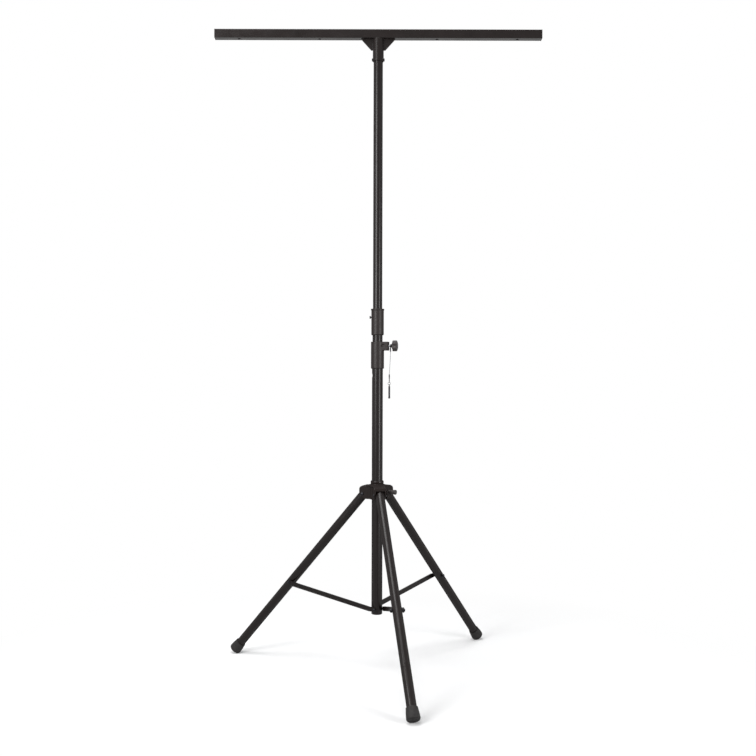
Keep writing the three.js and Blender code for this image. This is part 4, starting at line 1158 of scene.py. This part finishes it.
def cast_skin(mesh, grain, rounds=4):
    """A closed mesh as a casting: remade from cubes of one grain, then relaxed so many
    times, which rounds its edges and fills its inner corners as a mould does."""
    work = in_scene("work", mesh)
    skin = work.modifiers.new("skin", "REMESH")
    skin.mode, skin.voxel_size, skin.use_smooth_shade = "VOXEL", grain, True
    relax = work.modifiers.new("relax", "SMOOTH")
    relax.factor, relax.iterations = 0.5, rounds
    return evaluated(work)


def block(reach, width, low, high, edge=BOSS_EDGE):
    """A block that stands outwards from the axis, with rounded upright edges at its end:
    a level outline laid out sideways and carried up."""
    corner = arc((reach - edge, edge - width / 2), edge, -90, 0, 9)
    outline = np.vstack([[(0, -width / 2)], corner, corner[::-1] * (1, -1), [(0, width / 2)]])
    return placed(prism("block", outline * (1, -1), low, high), (0, 0, 0), FRONT, RIGHT)


lower_foot, lower_top = heights("lower_collar")
lower_seat = bottom_top + CLEARANCE
lower_bush_r = middle_bore + LOWER_BUSH_WALL
boss_foot = lower_top - BOSS_HEIGHT
pad_back = middle_bore + LOCK_PAD_LENGTH
dimple = rod(DIMPLE_R, -BOSS_WIDTH, DIMPLE_DEPTH - BOSS_WIDTH / 2, AROUND_BORE)
lower_shape = combined(
    turned("sleeve", [(0, lower_foot), (LOWER_COLLAR_R - 1.5 * mm, lower_foot),
                      (LOWER_COLLAR_R, lower_foot + 2 * mm), (LOWER_COLLAR_R, lower_top),
                      (0, lower_top)]),
    block(BOSS_REACH, BOSS_WIDTH, boss_foot, lower_top), operation="UNION")
lower_shape = combined(lower_shape, across(dimple, DIMPLE_OUT, clamp_z))
lower_shape = combined(
    cast_skin(lower_shape, COLLAR_GRAIN),
    bore(BOTTOM_TUBE_R, lower_foot - mm, lower_seat, AROUND),
    bore(lower_bush_r, lower_seat - mm, lower_top - COLLAR_LIP, AROUND),
    bore(middle_bore, lower_seat, lower_top + mm, AROUND),
    lying(bore(LOCK_SCREW_R, 0, 2 * BOSS_REACH), clamp_z),
    lying(bore(LOCK_PAD_R, 0, pad_back + LOCK_SCREW_R), clamp_z))
finished("lower_collar_cast", on_axis(lower_shape, clamp_out), "mast_base", "cast_black",
         "lower_collar")

# %% Its bush
lower_bush = combined(
    pipe("bush", middle_bore, lower_bush_r, lower_seat + CLEARANCE,
         lower_top - COLLAR_LIP - CLEARANCE),
    lying(bore(LOCK_PAD_R, 0, 2 * LOWER_COLLAR_R), clamp_z))
finished("lower_bush", on_axis(lower_bush, clamp_out), "mast_base", "nylon",
         "lower_collar_bush")

# %% [markdown]
# ## The knobs
#
# The star knob is moulded over its screw: a cone, then six rounded lobes with a domed
# face. Its grid is a turned profile whose radius is drawn in between the lobes, less and
# less towards the centre. The hub's knob is a slim one with shallow grip ribs.

# %% Star knob and its screw
CLAMP_STEM = 8 * mm
CLAMP_CONE = 6 * mm
CONE_SMALL_R = 5.5 * mm
CONE_LARGE_R = 9 * mm
STAR_R = 17.6 * mm
STAR_LOBE = 2.4 * mm
STAR_LOBES = 6
STAR_THICK = 20 * mm
STAR_DOME = 3 * mm
STAR_HEART_R = 10 * mm
STAR_AROUND = 144


def eased(t):
    """A passage from zero to one that starts and ends gently: t x t x (3 - 2 t)."""
    t = np.clip(t, 0, 1)
    return t ** 2 * (3 - 2 * t)


knob_foot = BOSS_REACH + CLAMP_STEM
star_foot = knob_foot + CLAMP_CONE
star_top = star_foot + STAR_THICK
star_reach = STAR_R + STAR_LOBE
screw_bore = LOCK_SCREW_R + CLEARANCE
star_profile = softened([
    (0, star_foot + CLEARANCE), (screw_bore, star_foot + CLEARANCE), (screw_bore, knob_foot),
    (CONE_SMALL_R, knob_foot), (CONE_LARGE_R, star_foot), (star_reach, star_foot),
    (star_reach, star_top - STAR_DOME - 0.5 * mm), (star_reach * 0.72, star_top - 1.2 * mm),
    (9 * mm, star_top - 0.4 * mm), (8 * mm, star_top - 1.1 * mm), (7 * mm, star_top - 0.3 * mm),
    (0, star_top)], 2.6 * mm, steps=7)
star_points = turned_points(star_profile, STAR_AROUND)
lobes = np.cos(STAR_LOBES * full_turn(STAR_AROUND))
drawn_in = 1 - (STAR_R + STAR_LOBE * lobes) / star_reach
rim = eased((star_profile[:, :1] - STAR_HEART_R) / (star_reach - STAR_HEART_R))
star_points[:, :, :2] *= (1 - rim * drawn_in)[:, :, None]
finished("star_knob", laid_out(grid_mesh("star", star_points), clamp_out, clamp_z),
         "clamp_knob", "black_plastic", "clamp_knob")

# %% Clamp screw
clamp_thread = thread("clamp", LOCK_SCREW_R, pad_back + CLEARANCE, knob_foot + CLAMP_CONE)
finished("clamp_screw_threaded", laid_out(clamp_thread, clamp_out, clamp_z), "clamp_knob",
         "steel", "clamp_screw")

# %% Hub knob
HUB_CORE_R = 29 * mm
HUB_BOSS_REACH = 20 * mm
HUB_KNOB_LENGTH = 29 * mm
HUB_KNOB_R = 8.9 * mm
HUB_KNOB_WAIST_R = 7.5 * mm
KNOB_RIBS = 14
RIB_DEPTH = 0.55 * mm
GRIP_AROUND = 168

hub_lock_out = level("hub_pad_travel")
hub_lock_z = joints["hub_knob_turn"]["pos_m"][2]
hub_boss_end = HUB_CORE_R + HUB_BOSS_REACH
grip_foot = hub_boss_end + CLEARANCE
grip_end = grip_foot + HUB_KNOB_LENGTH
grip_start = softened([
    (0, grip_foot + CLAMP_CONE), (screw_bore, grip_foot + CLAMP_CONE), (screw_bore, grip_foot),
    (HUB_KNOB_WAIST_R, grip_foot), (HUB_KNOB_WAIST_R, grip_foot + 5 * mm)], 1 * mm)
grip_tip = softened([
    (HUB_KNOB_R, grip_end - 3 * mm), (HUB_KNOB_R, grip_end - 1.2 * mm),
    (HUB_KNOB_R - 1.5 * mm, grip_end), (0, grip_end)], 0.8 * mm)
share = np.linspace(0, 1, 16)[1:-1]
ribbed = grip_start[-1] + share[:, None] * (grip_tip[0] - grip_start[-1])
fade = np.concatenate([np.zeros(len(grip_start)), np.sin(np.pi * share) ** 0.4,
                       np.zeros(len(grip_tip))])
groove = (0.5 - 0.5 * np.cos(KNOB_RIBS * full_turn(GRIP_AROUND))) ** 3
grip_points = turned_points(np.vstack([grip_start, ribbed, grip_tip]), GRIP_AROUND)
grip_points[:, :, :2] *= (1 - RIB_DEPTH / HUB_KNOB_R * fade[:, None] * groove)[:, :, None]
finished("hub_grip", laid_out(grid_mesh("grip", grip_points), hub_lock_out, hub_lock_z),
         "hub_knob", "black_plastic", "hub_knob")

# %% [markdown]
# ## The hub
#
# The hub is one casting: a core round the mast, a bead and a groove at its neck, a sloping
# shoulder, a housing for each leg and a boss for the lock. The solids are joined, the leg
# pockets and bores are cut, and the whole is given a cast skin, whose rounded edges and
# filled corners catch the light as the real ones do.

# %% Hub
PIVOT_RADIUS = 51 * mm
LEG_R = 16.5 * mm
HUB_BUSH_WALL = 1.7 * mm
HUB_NECK = 18 * mm
CHEEK = 5 * mm
CHEEK_SIDE_GAP = 0.5 * mm
CHEEK_BELOW = 1.5 * mm
HUB_FOOT_DROP = 1.5 * mm
HOUSING_REACH = 12 * mm
FRONT_WALL = 4 * mm
POCKET_HEADROOM = 10 * mm
HUB_ROOF = 5 * mm
LEG_TURN_GAP = 0.7 * mm
HOUSING_SHARES = np.array([(0, 1), (0.78, 1), (0.94, 0.9), (1, 0.78), (1, 0.49),
                           (0.84, 0.12), (0.68, 0), (0, 0)])
POCKET_SLOPE = (0.79, 0.68)
RIVET_R = 4 * mm
HUB_BOSS_WIDTH = 18 * mm
HUB_BOSS_BELOW = 25 * mm
HUB_BOSS_ABOVE = 8 * mm
NECK_BEAD_R = 23.8 * mm
NECK_GROOVE_R = 23 * mm
NECK_BEAD = 11.5 * mm
SHOULDER_R = 40 * mm
HUB_GRAIN = 1 * mm
PAST_CHEEKS = 30 * mm

hub_bore = BOTTOM_TUBE_R + CLEARANCE
hub_bush_r = hub_bore + HUB_BUSH_WALL
pocket_top = LEG_R + POCKET_HEADROOM
deck = pocket_top + HUB_ROOF
cheek_foot = -LEG_R - CHEEK_BELOW
hub_foot = cheek_foot - HUB_FOOT_DROP
neck_top = deck + HUB_NECK
inner_half = LEG_R + CHEEK_SIDE_GAP
reach = PIVOT_RADIUS + HOUSING_REACH
front = reach - FRONT_WALL
lip = np.sqrt((LEG_R + LEG_TURN_GAP) ** 2 - (front - PIVOT_RADIUS) ** 2)
bead_foot = neck_top - NECK_BEAD

# %% Its core
core = turned("core", [
    (0, hub_foot), (HUB_CORE_R - 2 * mm, hub_foot), (HUB_CORE_R, hub_foot + 2 * mm),
    (HUB_CORE_R, deck - 4 * mm), (SHOULDER_R, deck - 1 * mm), (SHOULDER_R, deck),
    (NECK_BEAD_R + 2 * mm, bead_foot - 1.5 * mm), (NECK_GROOVE_R, bead_foot - 1 * mm),
    (NECK_GROOVE_R, bead_foot), (NECK_BEAD_R, bead_foot + 1.5 * mm),
    (NECK_BEAD_R + 0.5 * mm, bead_foot + NECK_BEAD / 2), (NECK_BEAD_R, neck_top - 1.5 * mm),
    (NECK_BEAD_R - 1 * mm, neck_top), (0, neck_top)])

# %% Its housings
housing = prism("housing", (0, cheek_foot) + HOUSING_SHARES * (reach, deck - cheek_foot),
                -inner_half - CHEEK, inner_half + CHEEK)
pocket = prism("pocket", [
    (0, cheek_foot - mm), (reach + mm, cheek_foot - mm), (reach + mm, lip), (front, lip),
    (front, max(lip, pocket_top * POCKET_SLOPE[1])), (reach * POCKET_SLOPE[0], pocket_top),
    (0, pocket_top)], -inner_half, inner_half)
rivet_hole = across(bore(RIVET_R, -PAST_CHEEKS, PAST_CHEEKS), PIVOT_RADIUS)
housing = combined(housing, pocket, rivet_hole)

# %% Its lock boss, bores and skin


def facing(shape, outwards):
    """A mesh turned about its own upright axis to a side."""
    return placed(shape, (0, 0, 0), UP, outwards)


hub_lock_rise = hub_lock_z - pivot_z
lock_block = block(hub_boss_end, HUB_BOSS_WIDTH, hub_lock_rise - HUB_BOSS_BELOW,
                   hub_lock_rise + HUB_BOSS_ABOVE)
hub_shape = combined(core, facing(lock_block, hub_lock_out),
                     *[facing(housing, out) for out in leg_out.values()], operation="UNION")
hub_pad_back = hub_bore + LOCK_PAD_LENGTH
lock_bores = [facing(lying(bore(radius, 0, length), hub_lock_rise), hub_lock_out)
              for radius, length in ((LOCK_SCREW_R, 2 * hub_boss_end),
                                     (LOCK_PAD_R, hub_pad_back + LOCK_SCREW_R))]
hub_shape = combined(cast_skin(hub_shape, HUB_GRAIN),
                     bore(hub_bush_r, hub_foot - mm, neck_top + mm, AROUND), *lock_bores)
finished("hub_cast", on_axis(hub_shape, height=pivot_z), "hub", "cast_black", "hub_casting",
         material=hub_coat)
hub_bush = combined(
    pipe("bush", hub_bore, hub_bush_r, hub_foot + CLEARANCE, neck_top - CLEARANCE), lock_bores[1])
finished("hub_lining", on_axis(hub_bush, height=pivot_z), "hub", "nylon", "hub_bush")

# %% [markdown]
# ## The legs
#
# Each leg is a steel tube whose top is rounded off to turn in its housing, closed there by
# a plug, on a rivet. Its foot is a rubber cap with a swelling shape. One leg is shaped in
# its own frame, with the pivot at the origin and the tube running down, and is stood in
# the three places.

# %% Leg tube and plug
LEG_TILT = radians(40.6)
LEG_LENGTH = 834 * mm
LEG_WALL = 1.2 * mm
LEG_PLUG_LENGTH = 45 * mm
FOOT_SOLE = 9 * mm
LEG_BOLT_DISTANCE = 459 * mm
PAST_LEG = 2 * LEG_R


def on_leg(shape, leg):
    """A shape made in the leg's own frame, stood on that leg."""
    out = leg_out[leg]
    along = UP * cos(LEG_TILT) - out * sin(LEG_TILT)
    return placed(shape, on_mast(pivot_z) + out * PIVOT_RADIUS, along, out)


def round_topped(radius, foot):
    """A block whose top is half a cylinder across the tube, about the pivot."""
    outline = np.vstack([arc((0, 0), radius, 0, 180, 49), [(-radius, foot), (radius, foot)]])
    return prism("arch", outline, -PAST_LEG, PAST_LEG)


tube_foot = FOOT_SOLE + CLEARANCE - LEG_LENGTH
leg_plug_r = LEG_R - LEG_WALL - CLEARANCE
pivot_bore = across(bore(RIVET_R, -PAST_LEG, PAST_LEG))
bolt_bore = across(bore(BOLT_R, -PAST_LEG, PAST_LEG), 0, -LEG_BOLT_DISTANCE)
tube_shape = combined(pipe("leg", LEG_R - LEG_WALL, LEG_R, tube_foot, LEG_R + 2 * mm),
                      round_topped(LEG_R - 0.02 * mm, tube_foot - mm), operation="INTERSECT")
tube_shape = combined(tube_shape, pivot_bore, bolt_bore)
leg_plug_shape = combined(rod(leg_plug_r, -LEG_PLUG_LENGTH, LEG_R),
                          round_topped(LEG_R, -LEG_PLUG_LENGTH - mm), operation="INTERSECT")
leg_plug_shape = combined(leg_plug_shape, pivot_bore)

# %% Foot cap
# The side follows the swelling measured on the photograph, rounded at the lip and at the
# sole. The sole has three moulded rings, which grip the floor.
FOOT_TOP_R = 19.6 * mm
FOOT_R = 22.8 * mm
FOOT_SLEEVE = 33 * mm
FOOT_EDGE = 6.5 * mm
FOOT_RIM = 2 * mm
FOOT_LIP_R = 1.3 * mm
SOLE_RING = 5 * mm
SOLE_RING_DEPTH = 0.45 * mm

foot_top = -(LEG_LENGTH - FOOT_SOLE - FOOT_SLEEVE)
belly = FOOT_EDGE - LEG_LENGTH
drop = np.linspace(0, 1, 20)
swell = FOOT_TOP_R + (FOOT_R - FOOT_TOP_R) * np.sin(drop * np.pi / 2) ** 1.15
side = columns(swell, foot_top - FOOT_RIM + drop * (belly - foot_top + FOOT_RIM))
toe = arc((FOOT_R - FOOT_EDGE, belly), FOOT_EDGE, 0, -90, 12)[1:]
lip_round = arc((FOOT_TOP_R - FOOT_LIP_R, foot_top - FOOT_LIP_R), FOOT_LIP_R, 180, 0, 10)
sole_r = np.linspace(FOOT_R - FOOT_EDGE - 0.5 * mm, 0.5 * mm, 46)
rings = SOLE_RING_DEPTH * (0.5 - 0.5 * np.cos(2 * np.pi * sole_r / SOLE_RING)) ** 2
foot_shape = turned("foot", np.vstack([
    [(0, FOOT_SOLE - LEG_LENGTH), (LEG_R + CLEARANCE, FOOT_SOLE - LEG_LENGTH)],
    lip_round, side, toe, columns(sole_r, rings - LEG_LENGTH), [(0, rings[-1] - LEG_LENGTH)]]))

# %% Bolt, nut and spacer at the brace
BRACE_STANDOFF = 1.2 * mm
NUT_R = 7.5 * mm
NUT_THICK = 6.5 * mm
SPACER_R = 6.5 * mm
BOLT_SHOWN = 2.4 * mm

brace_plane = BOTTOM_TUBE_R + BRACE_STANDOFF
leg_side = LEG_R + CLEARANCE
nut_end = -leg_side - NUT_THICK
spacer_end = brace_plane - CLEARANCE
bolt_shape = across(together(
    "bolt", nut("nut", NUT_R, nut_end, -leg_side - 0.2 * mm),
    thread("end", BOLT_R, nut_end - BOLT_SHOWN, nut_end + 1 * mm),
    rod(BOLT_R, nut_end + 0.5 * mm, spacer_end, AROUND_BORE),
    turned("spacer", softened([(0, leg_side), (SPACER_R, leg_side), (SPACER_R, spacer_end),
                               (0, spacer_end)], 0.5 * mm), AROUND_SMALL)),
    0, -LEG_BOLT_DISTANCE)

# %% Leg rivets
RIVET_HEAD_R = 6.5 * mm
RIVET_HEAD = 3 * mm
RIVET_BRIM = 0.4 * mm
face = inner_half + CHEEK + CLEARANCE
dome = arc((0, face + RIVET_BRIM), (RIVET_HEAD_R, RIVET_HEAD - RIVET_BRIM), 0, 90, 12)
dome[-1, 0] = 0
half_rivet = np.vstack([[(RIVET_R, 0), (RIVET_R, face), (RIVET_HEAD_R - 0.3 * mm, face)], dome])
rivet_profile = np.vstack([half_rivet[:0:-1] * (1, -1), half_rivet])
rivet_shape = across(turned("rivet", rivet_profile, AROUND_SMALL), PIVOT_RADIUS)

# %% The three legs
for leg in LEGS:
    body = f"leg_{leg}"
    finished(f"leg_{leg}_round_tube", on_leg(tube_shape, leg), body, "powder_coat",
             f"leg_tube_{leg}", material=leg_coat)
    for part, shape, slot, node in (
            ("plug", leg_plug_shape, "nylon", "leg_top_plug"),
            ("foot", foot_shape, "rubber", "foot_cap"),
            ("bolt", bolt_shape, "black_steel", "leg_bolt")):
        finished(f"leg_{leg}_{part}", on_leg(shape, leg), body, slot, f"{node}_{leg}")
    finished(f"pivot_rivet_{leg}", on_axis(rivet_shape, leg_out[leg], pivot_z), "hub",
             "black_steel", f"leg_rivet_{leg}")

# %% [markdown]
# ## The braces
#
# A brace is pressed from sheet: a flat eye at each end, and between them two flanges that
# are folded down with a bend. Its section is an open channel, worked out at each station
# along it: the width narrows round the eyes, and the flanges rise out of the flat.

# %% Channel
BRACE_LENGTH = 355.7 * mm
BRACE_WIDTH = 17 * mm
BRACE_SHEET = 1.6 * mm
BRACE_FLANGE = 7 * mm
BRACE_SETBACK = 13 * mm
BEND_R = 2.2 * mm
FOLD_START = BRACE_SETBACK - 3 * mm
FOLD_LENGTH = 8 * mm

leg_bolt_out = PIVOT_RADIUS + LEG_BOLT_DISTANCE * sin(LEG_TILT)
brace_span = leg_bolt_out - BRACE_ROOT
brace_rise = pivot_z - LEG_BOLT_DISTANCE * cos(LEG_TILT) - mast_bolt_z
brace_half = BRACE_WIDTH / 2


def channel_section(half, depth):
    """A channel's closed outline (side, depth): along the outside from one flange's tip,
    round its bend, across the back, and home along the inside, one sheet away."""
    outer_r = min(BEND_R, depth * 0.98, half * 0.9)
    inner_r = max(outer_r - BRACE_SHEET, 0.05 * mm)
    tip = max(depth, BRACE_SHEET + 0.01 * mm)

    def half_outline(width, back, radius):
        """One half, from beside the bend to the flange's tip."""
        bend = arc((width - radius, back + radius), radius, -90, 0, 6)
        return np.vstack([[(width - radius - 0.2 * mm, back)], bend, [(width, tip)]])

    outside = half_outline(half, 0, min(outer_r, tip))
    inner_r = min(inner_r, max(tip - BRACE_SHEET, 0.01 * mm))
    inside = half_outline(half - BRACE_SHEET, BRACE_SHEET, inner_r)
    return np.vstack([outside[::-1] * (-1, 1), outside, inside[::-1], inside * (-1, 1)])


# %% Channel along the brace
eye_turn = np.linspace(-np.pi / 2 + 0.12, 0, 9)
eye_end = brace_half * np.sin(eye_turn)
rise = np.linspace(0, BRACE_SETBACK + 6 * mm, 18)[1:]
from_end = np.concatenate([eye_end, rise])
half_width = brace_half * np.sqrt(np.clip(1 - np.clip(-from_end / brace_half, 0, 1) ** 2, 0.01, 1))
folded = eased((from_end - FOLD_START) / FOLD_LENGTH)
depth = BRACE_SHEET + (BRACE_FLANGE - BRACE_SHEET) * folded
along_brace = np.concatenate([from_end, BRACE_LENGTH - from_end[::-1]])
half_width, depth = [np.concatenate([rows, rows[::-1]]) for rows in (half_width, depth)]
stations = [np.insert(channel_section(w, d), 2, z, axis=1)
            for z, w, d in zip(along_brace, half_width, depth)]
brace_shape = combined(
    grid_mesh("brace", capped(np.stack(stations))),
    *[across(bore(BOLT_R, -mm, BRACE_SHEET + mm), 0, height) for height in (0, BRACE_LENGTH)])

# %% Bolt heads
BOLT_HEAD_R = 5.5 * mm
BOLT_HEAD = 4 * mm
BOLT_CROWN_R = 2.6 * mm


def button_bolt(name, foot, underside):
    """A bolt with a low domed head and a key's recess."""
    top = underside + BOLT_HEAD
    crown = arc((BOLT_HEAD_R - BOLT_CROWN_R, top - BOLT_CROWN_R), BOLT_CROWN_R, 0, 90, 10)
    profile = np.vstack([[(0, foot), (BOLT_R, foot), (BOLT_R, underside),
                          (BOLT_HEAD_R, underside)], crown, [(0, top)]])
    return hex_socket(turned(name, profile, AROUND_SMALL), top)


outer_bolt = across(button_bolt("outer_bolt", 0, BRACE_SHEET + CLEARANCE), 0, BRACE_LENGTH)
mast_bolt = button_bolt("mast_bolt", MAST_BOLT_DEPTH, brace_plane + BRACE_SHEET + CLEARANCE)
mast_bolt = across(mast_bolt, BRACE_ROOT, mast_bolt_z)

for leg, out in leg_out.items():
    body = f"brace_{leg}"
    root = on_mast(mast_bolt_z) + out * BRACE_ROOT + sideways(out) * brace_plane
    lean = UP * brace_rise + out * brace_span
    finished(f"brace_{leg}_channel", placed(brace_shape, root, lean, out), body, "powder_coat",
             f"brace_{leg}")
    finished(f"brace_{leg}_button", placed(outer_bolt, root, lean, out), body, "black_steel",
             f"brace_bolt_head_{leg}")
    finished(f"mast_button_{leg}", on_axis(mast_bolt, out), "mast_base", "black_steel",
             f"mast_bolt_{leg}")

# %% Last lines
bpy.context.view_layer.update()
